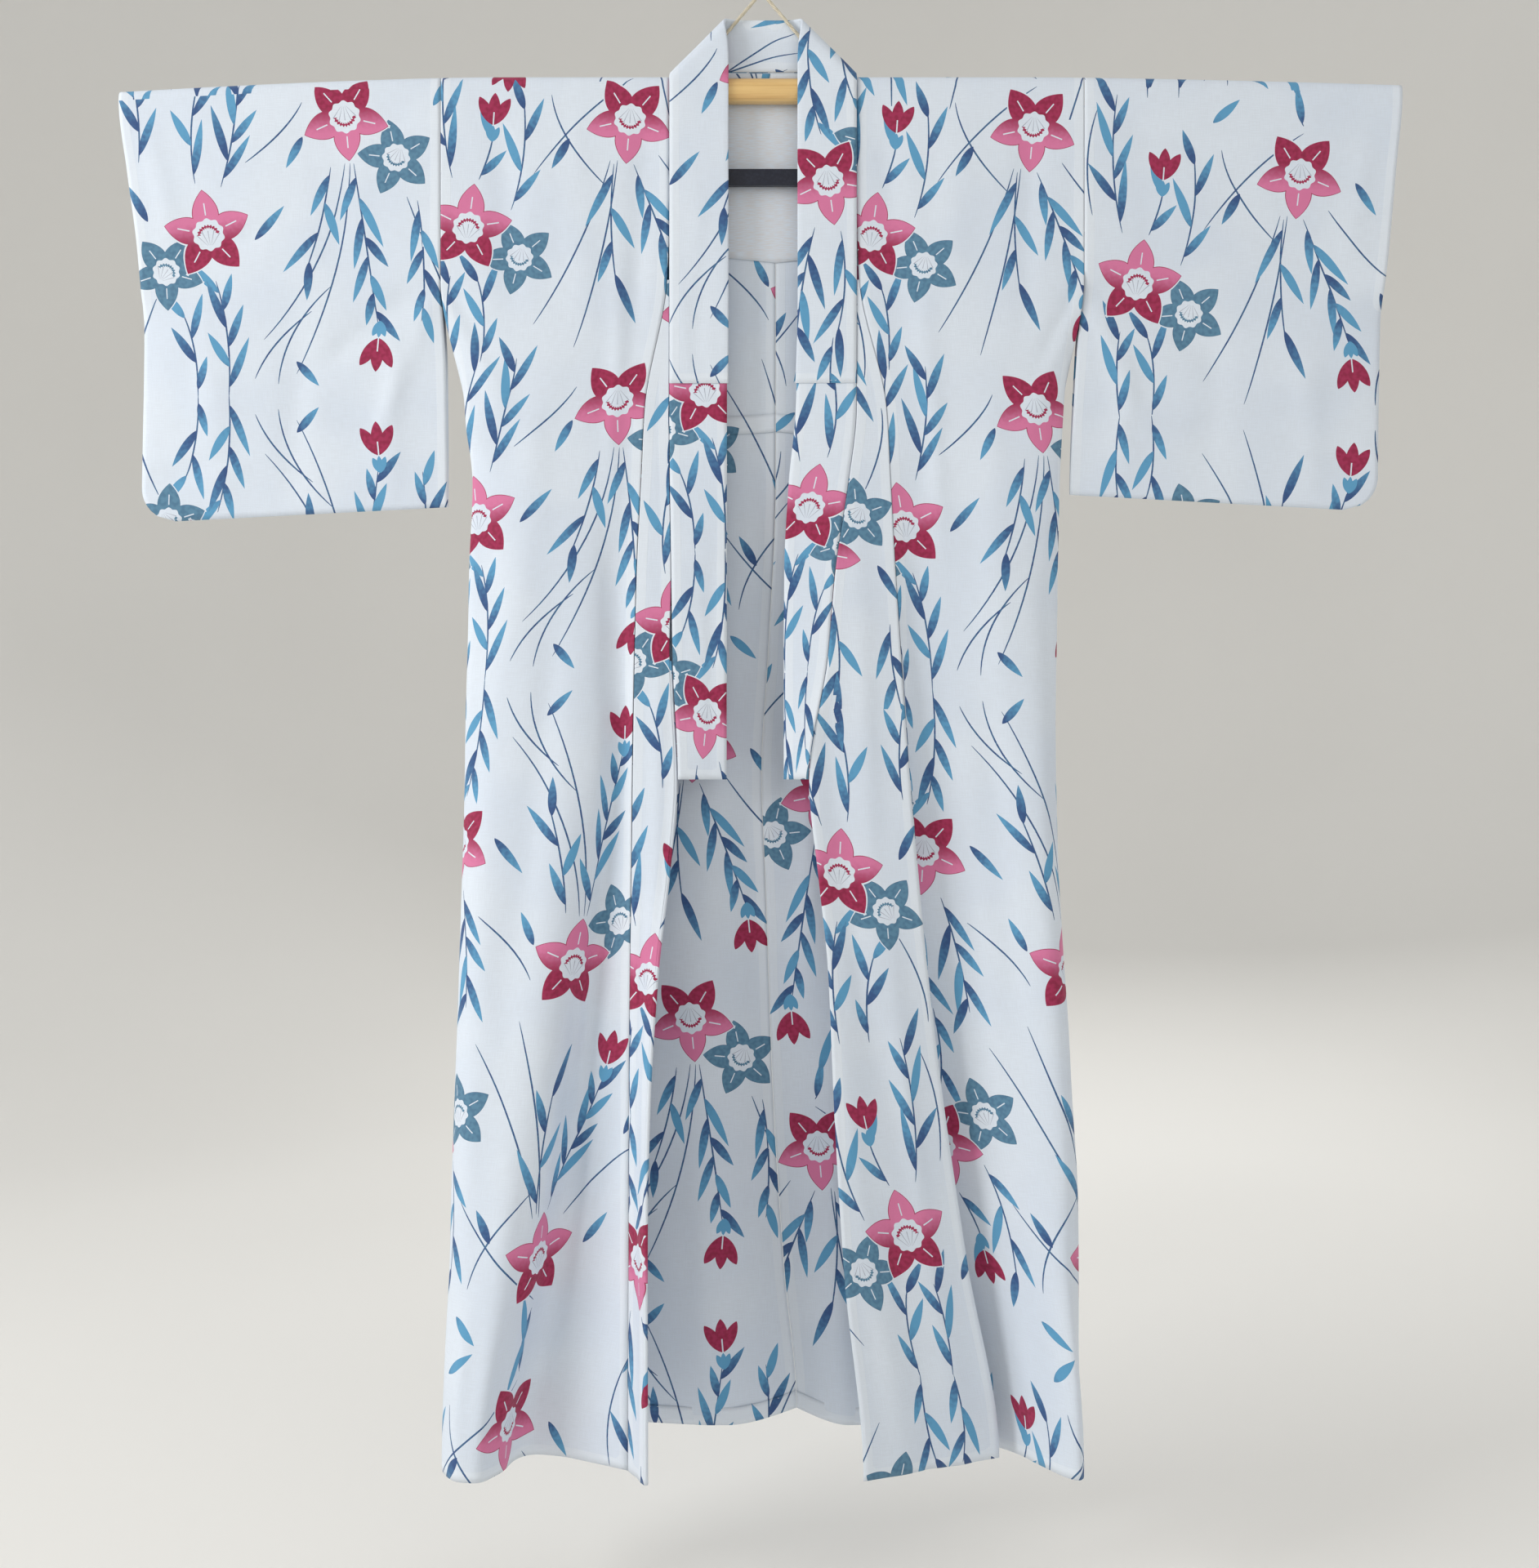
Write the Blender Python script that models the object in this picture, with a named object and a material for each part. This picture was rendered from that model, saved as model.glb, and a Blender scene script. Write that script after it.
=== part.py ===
"""Cotton yukata robe hanging on a wooden kimono hanger.

Built in metres with +Z up. The origin is the top of the hanging cord, where a hook
holds it. +X points to the wearer's left, which a viewer in front sees on the right,
and -Y points to that viewer. The tables are in millimetres and metres follow from MM.

Each cloth piece is laid out as its inner face, in rows and columns of points, and a
Solidify modifier adds the wall towards the outside of the garment.
"""
import math

import bpy
from mathutils import Vector

MM = 0.001

# Cloth walls and the clearances between pieces
CLOTH = 1.2 * MM
COLLAR_WALL = 1.6 * MM
COVER_WALL = 1.0 * MM
SEAM = 0.3 * MM
EDGE_SEAM = 0.6 * MM

# The wooden rod and how the cloth hangs over it
ROD_TOP_Z = -99.3 * MM
ROD_HEIGHT = 27.0 * MM
ROD_DEPTH = 20.0 * MM
ROD_HALF_LENGTH = 660.0 * MM
ROD_ROUNDNESS = 2.8
ROD_MIDDLE_STATIONS = 2
ROD_ARM_STATIONS = 8
ROD_SIDES = 16
BOW_START = 300.0 * MM
BOW_SPAN = 420.0 * MM
BOW_DROP = {"right": 16.6 * MM, "left": 9.0 * MM}

FRONT_Y = -10.3 * MM
BACK_Y = 12.2 * MM
FOLD_MID_Y = (FRONT_Y + BACK_Y) / 2.0
FOLD_HALF_DEPTH = (BACK_Y - FRONT_Y) / 2.0
FOLD_TOP_Z = ROD_TOP_Z + SEAM
FOLD_RISE = 12.0 * MM
FOLD_STEPS = 8

SIDES = {"right": -1.0, "left": 1.0}

# Rows of the body and overlap panels, from the shoulder to the hem
PANEL_TOP_Z = FOLD_TOP_Z - FOLD_RISE
ROW_Z = [-200, -330, -400, -475, -560, -660, -760, -895, -1010, -1130, -1260, -1430, -1636]
FRONT_HEM_Z = -1636.0
BACK_HEM_Z = -1627.0
HEM_AT_SIDE_Z = -1630.0
HEM_AT_CENTRE_Z = -1613.0
# Shares of a panel's width over which its hem changes at the side and centre seams
HEM_SIDE_SHARE = 0.16
HEM_CENTRE_SHARE = 0.2
OVERLAP_TOP_ROW_Z = -330
TURN_BACK_ROW_Z = -760

FRONT_COLUMNS = 12
NECK_COLUMNS = 4
SPREAD_ROWS = 4
OVERLAP_COLUMNS = 5
TURN_STEPS = 3
TURN_RADIUS = 1.6 * MM
LAP_COLUMNS = 4
LAP_BEND = 2.0 * MM
SAMPLES = 60

# Half width of the neck cut, from the centre to the collar's seam
COLLAR_SEAM_X = {"right": -103.5 * MM, "left": 107.0 * MM}
COLLAR_WIDTH = 65.0 * MM
COLLAR_NECK_WIDTH = 58.0 * MM
NARROWING = (-80.0 * MM, -5.0 * MM)
COLLAR_Y = -12.6 * MM
COLLAR_COLUMNS = 4
ROLL_RADIUS = 9.0 * MM
ROLL_STEPS = 7
NECK_SEAM_Z = -89.0 * MM
ROLL_START_Z = NECK_SEAM_Z - math.pi * ROLL_RADIUS / math.sqrt(2.0)
NECK_BACK_Y = COLLAR_Y + 2.0 * ROLL_RADIUS - CLOTH / 2.0


class Table:
    """Rows of named columns, read at any height between them."""

    def __init__(self, columns, rows):
        self.columns = columns.split()
        self.heights = [row[0] for row in rows]
        self.values = {}
        for index, name in enumerate(self.columns):
            self.values[name] = [row[index] for row in rows]

    def slope(self, name, index):
        """Slope at one row, zero at a turning point so that nothing overshoots."""
        heights = self.heights
        values = self.values[name]
        if index == 0 or index == len(heights) - 1:
            return 0.0
        before = (values[index] - values[index - 1]) / (heights[index] - heights[index - 1])
        after = (values[index + 1] - values[index]) / (heights[index + 1] - heights[index])
        if before * after <= 0.0:
            return 0.0
        return 2.0 * before * after / (before + after)

    def at(self, name, height):
        """Value of one column at a height in millimetres."""
        heights = self.heights
        if height >= heights[0]:
            return self.values[name][0]
        if height <= heights[-1]:
            return self.values[name][-1]
        index = 0
        while heights[index + 1] > height:
            index += 1
        run = heights[index + 1] - heights[index]
        t = (height - heights[index]) / run
        start = self.values[name][index]
        end = self.values[name][index + 1]
        rise_start = self.slope(name, index) * run
        rise_end = self.slope(name, index + 1) * run
        return ((2 * t ** 3 - 3 * t ** 2 + 1) * start + (t ** 3 - 2 * t ** 2 + t) * rise_start
                + (3 * t ** 2 - 2 * t ** 3) * end + (t ** 3 - t ** 2) * rise_end)

    def point(self, name, height):
        """The x and y of one named line down the cloth, in metres."""
        return (self.at(name + "_x", height) * MM, self.at(name + "_y", height) * MM)


# Front panels, from the side seam (side) round the outermost line (edge) and the
# rounded corner to the front (corner), to the main fold and the overlap's seam
FRONT_LINES = {
    "right": ("side", "edge", "corner", "ridge", "valley", "seam"),
    "left": ("side", "edge", "corner", "valley", "under", "turn", "seam"),
}
FRONT = {
    "right": Table(
        "z side_x side_y edge_x edge_y corner_x corner_y ridge_x ridge_y valley_x valley_y seam_x seam_y", [
            (-110, -361.0, -10.3, -340, -10.3, -280, -10.3, -215, -10.3, -160, -10.3, -103.8, -10.3),
            (-255, -361.0, -10.3, -340, -10.3, -280, -11.5, -215, -11.0, -160, -10.8, -103.8, -10.8),
            (-330, -361.0, -10.3, -337, -11.5, -277, -14.0, -215, -13.0, -160, -12.0, -106.5, -11.8),
            (-475, -333.5, 1.0, -335, -8.0, -300, -16.0, -205, -17.0, -163, -13.5, -131.5, -13.8),
            (-560, -324.5, 2.0, -326.5, -9.0, -297, -20.0, -200, -21.0, -165, -14.5, -135.5, -16.5),
            (-660, -328.0, 2.0, -331, -12.0, -300, -25.0, -196, -28.0, -164, -15.0, -140.0, -20.5),
            (-842, -330.0, 3.0, -334, -20.0, -308, -38.0, -192, -46.0, -163, -17.0, -143.0, -31.0),
            (-1000, -332.0, 4.0, -336, -28.0, -312, -50.0, -207, -63.0, -178, -18.0, -144.0, -40.0),
            (-1200, -337.0, 4.0, -341, -40.0, -318, -66.0, -226, -84.0, -204, -21.0, -145.0, -53.0),
            (-1420, -341.0, 4.0, -346, -56.0, -322, -88.0, -254, -108.0, -232, -24.0, -144.0, -71.0),
            (-1636, -343.0, 4.0, -349, -80.0, -330, -112.0, -284, -126.0, -265, -28.0, -143.0, -89.0),
        ]),
    "left": Table(
        "z side_x side_y edge_x edge_y corner_x corner_y valley_x valley_y under_x under_y "
        "turn_x turn_y seam_x seam_y", [
            (-110, 363.0, -10.3, 345, -10.3, 300, -10.3, 255, -10.3, 205, -10.3, 155, -10.3, 107.3, -10.3),
            (-255, 363.0, -10.3, 345, -10.3, 300, -11.5, 255, -11.0, 205, -10.8, 155, -10.8, 107.3, -10.8),
            (-330, 363.0, -10.3, 343, -11.5, 298, -14.0, 250, -13.0, 200, -12.0, 155, -11.8, 110.0, -11.8),
            (-475, 339.5, 1.0, 341, -8.0, 308, -15.0, 230, -15.0, 190, -13.5, 162, -13.5, 140.5, -14.5),
            (-560, 334.5, 2.0, 337, -9.0, 306, -19.0, 222, -15.5, 185, -14.0, 163, -15.0, 145.0, -17.5),
            (-660, 332.5, 2.0, 336, -11.0, 304, -23.0, 214, -15.5, 178, -14.5, 160, -18.5, 150.0, -22.5),
            (-842, 329.5, 3.0, 334, -18.0, 305, -34.0, 206, -17.0, 164, -16.0, 158, -25.0, 161.5, -33.0),
            (-1000, 331.0, 4.0, 335, -26.0, 308, -46.0, 212, -18.5, 160, -17.0, 159, -33.0, 173.5, -43.0),
            (-1200, 338.0, 4.0, 343, -40.0, 317, -64.0, 226, -20.0, 166, -18.0, 166, -37.0, 194.5, -47.5),
            (-1420, 342.0, 4.0, 348, -66.0, 325, -92.0, 246, -20.0, 180, -18.0, 181, -40.0, 226.0, -51.0),
            (-1636, 343.5, 4.0, 349, -100.0, 332, -122.0, 268, -18.0, 196, -18.0, 198, -43.0, 261.0, -55.0),
        ]),
}

# Inner edge of each overlap panel: the collar's seam, then the edge that hangs free
OVERLAP = {
    "right": Table("z free_x free_y lap lap_gap", [
        (-330, -104.1, -11.8, 20, 6),
        (-475, -104.1, -13.5, 20, 6),
        (-660, -101.4, -22.0, 20, 6),
        (-760, -99.5, -28.0, 30, 6),
        (-895, -93.0, -40.0, 80, 7),
        (-1000, -101.0, -51.0, 95, 8),
        (-1100, -112.5, -67.0, 105, 9),
        (-1250, -121.5, -89.0, 112, 11),
        (-1370, -123.5, -104.0, 116, 13),
        (-1636, -121.5, -127.0, 120, 15),
    ]),
    "left": Table("z free_x free_y", [
        (-330, 107.6, -11.8),
        (-475, 106.9, -16.0),
        (-560, 97.4, -20.5),
        (-660, 82.4, -29.0),
        (-760, 73.3, -37.5),
        (-895, 52.6, -49.0),
        (-1000, 62.5, -59.5),
        (-1100, 72.5, -69.5),
        (-1250, 78.5, -86.0),
        (-1420, 88.5, -101.0),
        (-1636, 108.5, -115.0),
    ]),
}

# Depth of the back panels at five lines from the side seam to the centre seam
BACK_LINES = {
    "right": (("side", 0.0), ("outer", 0.15), ("hollow", 0.45), ("ridge", 0.78), ("centre", 1.0)),
    "left": (("side", 0.0), ("outer", 0.15), ("hollow", 0.5), ("ridge", 0.8), ("centre", 1.0)),
}
BACK = {
    "right": Table("z outer hollow ridge centre", [
        (-110, 12.2, 12.2, 12.2, 12.2),
        (-330, 12.2, 12.2, 12.2, 12.2),
        (-475, 9.5, 13.0, 13.0, 13.5),
        (-660, 9.5, 14.0, 13.0, 14.5),
        (-1000, 10.0, 16.0, 13.0, 17.0),
        (-1300, 11.0, 18.0, 11.0, 20.0),
        (-1636, 12.0, 21.0, 9.5, 25.0),
    ]),
    "left": Table("z outer hollow ridge centre", [
        (-110, 12.2, 12.2, 12.2, 12.2),
        (-330, 12.2, 12.2, 12.2, 12.2),
        (-475, 9.5, 13.0, 13.0, 13.5),
        (-660, 9.5, 14.0, 13.5, 14.5),
        (-1000, 10.0, 15.0, 14.0, 17.0),
        (-1300, 11.0, 17.0, 13.0, 20.0),
        (-1636, 12.0, 20.0, 10.0, 25.0),
    ]),
}
CENTRE_SEAM = Table("z x", [
    (-95, 10), (-300, 16), (-560, 16), (-765, 7), (-895, 0),
    (-1040, 5), (-1270, 13), (-1475, 26), (-1636, 40),
])

# Collar below the shoulder: its seam edge and its free edge
COLLAR = {
    "right": Table("z seam_x seam_y free_x free_y", [
        (-116, -103.5, -12.6, -38.5, -12.6),
        (-330, -103.5, -12.9, -38.5, -12.9),
        (-475, -103.5, -14.4, -38.8, -14.0),
        (-660, -100.8, -22.6, -38.8, -19.5),
        (-760, -98.9, -28.6, -38.8, -24.0),
        (-892, -92.4, -40.2, -38.8, -32.0),
    ]),
    "left": Table("z seam_x seam_y free_x free_y", [
        (-116, 107.0, -12.6, 42.0, -12.6),
        (-330, 107.0, -12.9, 42.0, -12.9),
        (-475, 106.3, -16.6, 38.5, -15.0),
        (-560, 96.8, -21.0, 30.5, -17.5),
        (-660, 81.8, -29.5, 25.5, -22.5),
        (-760, 72.7, -38.0, 25.0, -28.0),
        (-892, 52.0, -49.5, 25.0, -38.0),
    ]),
}
COLLAR_ROW_Z = [-200, -330, -400, -475, -560, -660, -760, -892]
COVER_ROW_Z = [-200, -330, -400, -447]
COVER_WRAP = 0.8 * MM

# Sleeves: the seam to the body, the cuff edge, the bottom edge and the open cuff
SLEEVE_COLUMNS = 10
SLEEVE_ROWS = 11
SLEEVE_INNER = {
    "right": Table("z x", [(-110, -361.4), (-330, -361.4), (-440, -356.5), (-599, -355.0)]),
    "left": Table("z x", [(-110, 363.4), (-330, 363.4), (-420, 356.0), (-599, 349.0)]),
}
SLEEVE_CUFF = {
    "right": Table("z x", [(-110, -723.5), (-194, -714.5), (-287, -703.5), (-379, -698.0), (-599, -701.0)]),
    "left": Table("z x", [(-110, 721.5), (-194, 715.0), (-287, 707.5), (-379, 699.5), (-599, 697.0)]),
}
SLEEVE_BOTTOM_Z = {"right": (-582.5, -598.5), "left": (-568.5, -585.5)}
SLEEVE_CORNER = 37.0 * MM
CUFF_ROW = 5
CUFF_PINCH = 70.0 * MM
PINCH_POWER = 0.6
SLEEVE_FALL = 0.7
ARMHOLE_END_Z = -330.0 * MM
SEWN_HALF_GAP = 0.6 * MM

# Shoulder lining inside the back, and the tuck sewn across the back
LINING_TOP_Z = -112.0
LINING_END_Z = -297.0
LINING_POINT_Z = -303.0
LINING_POINT_HALF_WIDTH = 60.0
LINING_HALF_WIDTH = 352.0
LINING_COLUMNS = 12
LINING_ROWS = 3
LINING_WALL = 1.0 * MM
TUCK_TOP_Z = -480.0
TUCK_END_Z = -501.0
TUCK_START_SHARE = 0.04
TUCK_COLUMNS = 10
TUCK_WALL = 1.0 * MM

# Hanger fittings
BAR_LENGTH = 200.0 * MM
BAR_HEIGHT = 18.5 * MM
BAR_DEPTH = 8.0 * MM
BAR_TOP_Z = -201.4 * MM
LINK_X = 85.0 * MM
LINK_RADIUS = 2.0 * MM
FERRULE_X = 80.0 * MM
FERRULE_RADIUS = 5.0 * MM
FERRULE_HEIGHT = 3.6 * MM
POST_SIDES = 12
BAR_BEVEL = 1.2 * MM
CORD_RADIUS = 2.0 * MM
CORD_POINTS = 27
CORD_SUBSTEPS = 12
# Route of the hanging cord from the right ferrule to the left one, x and z
CORD_ROUTE = [
    (-80.0, -94.2), (-79.0, -90.5), (-68.0, -79.5), (-45.0, -53.0), (-22.0, -26.0), (-8.0, -9.5),
    (-3.2, -2.4), (0.0, -0.6), (3.2, -2.4),
    (8.0, -9.5), (22.0, -26.0), (45.0, -53.0), (68.0, -79.5), (79.0, -90.5), (80.0, -94.2),
]

COLOURS = {
    "cotton": ((0.80, 0.84, 0.88, 1.0), 0.85, 0.0),
    "lining": ((0.86, 0.87, 0.88, 1.0), 0.85, 0.0),
    "wood": ((0.74, 0.52, 0.24, 1.0), 0.35, 0.0),
    "bar": ((0.01, 0.012, 0.03, 1.0), 0.4, 0.2),
    "steel": ((0.6, 0.6, 0.6, 1.0), 0.3, 1.0),
    "brass": ((0.7, 0.5, 0.2, 1.0), 0.3, 1.0),
    "cord": ((0.72, 0.65, 0.5, 1.0), 0.8, 0.0),
}


def clear_scene():
    for item in list(bpy.data.objects):
        bpy.data.objects.remove(item, do_unlink=True)


def finish_object(item, look):
    """Give one object its own material and smooth shading."""
    colour, roughness, metallic = COLOURS[look]
    material = bpy.data.materials.new(item.name)
    material.use_nodes = True
    shader = material.node_tree.nodes["Principled BSDF"]
    shader.inputs["Base Color"].default_value = colour
    shader.inputs["Roughness"].default_value = roughness
    shader.inputs["Metallic"].default_value = metallic
    item.data.materials.append(material)
    if item.type == "MESH":
        item.data.shade_smooth()
        item.data.set_sharp_from_angle(angle=math.radians(40.0))


def mesh_object(name, points, faces, look):
    mesh = bpy.data.meshes.new(name)
    mesh.from_pydata([tuple(point) for point in points], [], faces)
    mesh.validate()
    item = bpy.data.objects.new(name, mesh)
    bpy.context.scene.collection.objects.link(item)
    finish_object(item, look)
    return item


def add_wall(item, wall, offset):
    """Thicken a sheet: offset 1 adds the wall outside, 0 puts half on each side."""
    solid = item.modifiers.new("Wall", "SOLIDIFY")
    solid.thickness = wall
    solid.offset = offset
    solid.use_even_offset = True
    solid.use_quality_normals = True
    solid.use_rim = True


class Sheet:
    """A sheet of cloth built from cells between named rows and columns of points."""

    def __init__(self):
        self.points = []
        self.index = {}
        self.faces = []

    def put(self, key, point):
        if key not in self.index:
            self.index[key] = len(self.points)
            self.points.append(Vector(point))

    def cell(self, *keys, turned):
        corners = [self.index[key] for key in keys]
        self.faces.append(corners[::-1] if turned else corners)

    def grid(self, part, rows, columns, turned):
        """Cells between all rows and columns of one part of the sheet."""
        for j in range(rows - 1):
            for i in range(columns - 1):
                self.cell((part, j, i), (part, j + 1, i), (part, j + 1, i + 1), (part, j, i + 1),
                          turned=turned)

    def build(self, name, look, wall, offset=1.0):
        item = mesh_object(name, self.points, self.faces, look)
        add_wall(item, wall, offset)
        return item


def along(knots, u):
    """Smooth line through a row of knots: u runs from 0 to the last knot's number."""
    last = len(knots) - 1
    middles = []
    for a, b in zip(knots, knots[1:]):
        middles.append(((a[0] + b[0]) / 2.0, (a[1] + b[1]) / 2.0))
    if u <= 0.5:
        start, end, t = knots[0], middles[0], u / 0.5
        return (start[0] + (end[0] - start[0]) * t, start[1] + (end[1] - start[1]) * t)
    if u >= last - 0.5:
        start, end, t = middles[-1], knots[-1], (u - last + 0.5) / 0.5
        return (start[0] + (end[0] - start[0]) * t, start[1] + (end[1] - start[1]) * t)
    number = int(u + 0.5)
    t = u + 0.5 - number
    before, knot, after = middles[number - 1], knots[number], middles[number]
    weights = ((1 - t) ** 2, 2 * t * (1 - t), t ** 2)
    return tuple(weights[0] * before[k] + weights[1] * knot[k] + weights[2] * after[k] for k in (0, 1))


def bow(x):
    """How far the shoulder line has dropped at x, towards the ends of the rod."""
    side = "right" if x < 0.0 else "left"
    reach = max(0.0, abs(x) - BOW_START) / BOW_SPAN
    return BOW_DROP[side] * reach ** 1.5


def rounded_box(angle):
    """Unit outline between a circle and a square, which the rod and the fold share."""
    c, s = math.cos(angle), math.sin(angle)
    power = 2.0 / ROD_ROUNDNESS
    return math.copysign(abs(c) ** power, c), math.copysign(abs(s) ** power, s)


def shoulder_fold(x, step):
    """Inner face of the cloth over the rod, from front (0) to back (FOLD_STEPS)."""
    angle = math.pi * step / FOLD_STEPS
    across, up = rounded_box(angle)
    return Vector((x, FOLD_MID_Y - FOLD_HALF_DEPTH * across, PANEL_TOP_Z + FOLD_RISE * up - bow(x)))


def front_section(side, z):
    """Knots of one front panel's section at a height in millimetres."""
    return [FRONT[side].point(line, z) for line in FRONT_LINES[side]]


def panel_z(z, x, hem_z):
    """Real height of a row: the top follows the rod's bow and the foot the hem."""
    top = PANEL_TOP_Z - bow(x)
    share = (z * MM - PANEL_TOP_Z) / (FRONT_HEM_Z * MM - PANEL_TOP_Z)
    return top + (hem_z * MM - top) * share


def front_point(side, row_z, u):
    """Point of a front panel's inner face, u from the side seam to the overlap's seam."""
    knots = front_section(side, row_z)
    x, y = along(knots, u * (len(knots) - 1))
    hem = FRONT_HEM_Z + (HEM_AT_SIDE_Z - FRONT_HEM_Z) * max(0.0, 1.0 - u / HEM_SIDE_SHARE)
    return Vector((x, y, panel_z(row_z, x, hem)))


def back_point(side, row_z, u):
    """Point of a back panel's inner face, u from the side seam to the centre seam."""
    sign = SIDES[side]
    edge_x, edge_y = FRONT[side].point("side", row_z)
    joined = FRONT[side].at("side_y", row_z) > 0.0
    if joined:
        edge_x += sign * CLOTH
        side_y = edge_y + SEAM
    else:
        share = max(0.0, min(1.0, (edge_y - FRONT_Y) / (0.0 - FRONT_Y)))
        side_y = BACK_Y * (1.0 - share) + SEAM * share
        edge_x += sign * CLOTH * share
    centre_x = CENTRE_SEAM.at("x", row_z) * MM + sign * SEAM / 2.0
    x = edge_x + (centre_x - edge_x) * u
    knots = []
    for line, share in BACK_LINES[side]:
        depth = side_y if line == "side" else BACK[side].at(line, row_z) * MM
        knots.append((share, depth))
    y = depth_between(knots, u)
    to_centre = max(0.0, 1.0 - (1.0 - u) / HEM_CENTRE_SHARE)
    to_side = max(0.0, 1.0 - u / HEM_SIDE_SHARE)
    hem = BACK_HEM_Z + (HEM_AT_CENTRE_Z - BACK_HEM_Z) * to_centre ** 2
    hem += (HEM_AT_SIDE_Z - BACK_HEM_Z) * to_side
    return Vector((x, y, panel_z(row_z, x, hem)))


def depth_between(knots, u):
    """Depth at u between knots of share and depth, eased so that it is smooth."""
    for (start, depth_start), (end, depth_end) in zip(knots, knots[1:]):
        if u <= end:
            t = (u - start) / (end - start)
            ease = t * t * (3.0 - 2.0 * t)
            return depth_start + (depth_end - depth_start) * ease
    return knots[-1][1]


def build_body(side):
    """Front and back of one side, cut in one length over the shoulder."""
    sheet = Sheet()
    turned = side == "left"
    rows = len(ROW_Z) + 1
    for i in range(FRONT_COLUMNS):
        u = i / (FRONT_COLUMNS - 1)
        top_x = front_point(side, PANEL_TOP_Z / MM, u).x
        for step in range(FOLD_STEPS + 1):
            sheet.put(("fold", step, i), shoulder_fold(top_x, FOLD_STEPS - step))
        sheet.index[("front", 0, i)] = sheet.index[("fold", FOLD_STEPS, i)]
        sheet.index[("back", 0, i)] = sheet.index[("fold", 0, i)]
        for j, row_z in enumerate(ROW_Z):
            sheet.put(("front", j + 1, i), front_point(side, row_z, u))

    # The back's columns start at those of the fold and spread to the centre seam
    back_columns = FRONT_COLUMNS + NECK_COLUMNS
    edge_x = FRONT[side].at("side_x", PANEL_TOP_Z / MM) * MM
    centre_x = CENTRE_SEAM.at("x", NECK_SEAM_Z / MM) * MM + SIDES[side] * SEAM / 2.0
    neck_x = sheet.points[sheet.index[("fold", 0, FRONT_COLUMNS - 1)]].x
    top_shares = []
    for i in range(back_columns):
        if i < FRONT_COLUMNS:
            x = sheet.points[sheet.index[("fold", 0, i)]].x
        else:
            x = neck_x + (centre_x - neck_x) * (i - FRONT_COLUMNS + 1) / NECK_COLUMNS
        top_shares.append((x - edge_x) / (centre_x - edge_x))
    for i in range(FRONT_COLUMNS, back_columns):
        x = edge_x + (centre_x - edge_x) * top_shares[i]
        sheet.put(("back", 0, i), (x, BACK_Y, PANEL_TOP_Z))
        sheet.put(("neck", 0, i), (x, NECK_BACK_Y, NECK_SEAM_Z - CLOTH))
    for j, row_z in enumerate(ROW_Z):
        spread = min(1.0, j / SPREAD_ROWS)
        for i in range(back_columns):
            even = i / (back_columns - 1)
            share = top_shares[i] + (even - top_shares[i]) * spread
            sheet.put(("back", j + 1, i), back_point(side, row_z, share))

    sheet.grid("fold", FOLD_STEPS + 1, FRONT_COLUMNS, turned)
    sheet.grid("front", rows, FRONT_COLUMNS, turned)
    sheet.grid("back", rows, back_columns, not turned)
    for i in range(FRONT_COLUMNS, back_columns - 1):
        sheet.cell(("neck", 0, i), ("back", 0, i), ("back", 0, i + 1), ("neck", 0, i + 1), turned=not turned)
    corner = [("back", 0, FRONT_COLUMNS - 1), ("back", 0, FRONT_COLUMNS), ("neck", 0, FRONT_COLUMNS)]
    sheet.cell(*corner, turned=not turned)
    sheet.build("body_" + side, "cotton", CLOTH)


def front_depth(side, z, x):
    """Depth of the front at x: the overlap panel, then the front panel beyond its seam."""
    seam_x, seam_y = FRONT[side].point("seam", z)
    free_x, free_y = OVERLAP[side].point("free", z)
    if x > seam_x:
        return seam_y + (free_y - seam_y) * (x - seam_x) / (free_x - seam_x)
    knots = front_section(side, z)
    samples = [along(knots, (len(knots) - 1) * k / SAMPLES) for k in range(SAMPLES, -1, -1)]
    for (near_x, near_y), (far_x, far_y) in zip(samples, samples[1:]):
        if far_x <= x <= near_x:
            return near_y + (far_y - near_y) * (near_x - x) / max(near_x - far_x, 1e-9)
    return samples[-1][1]


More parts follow.
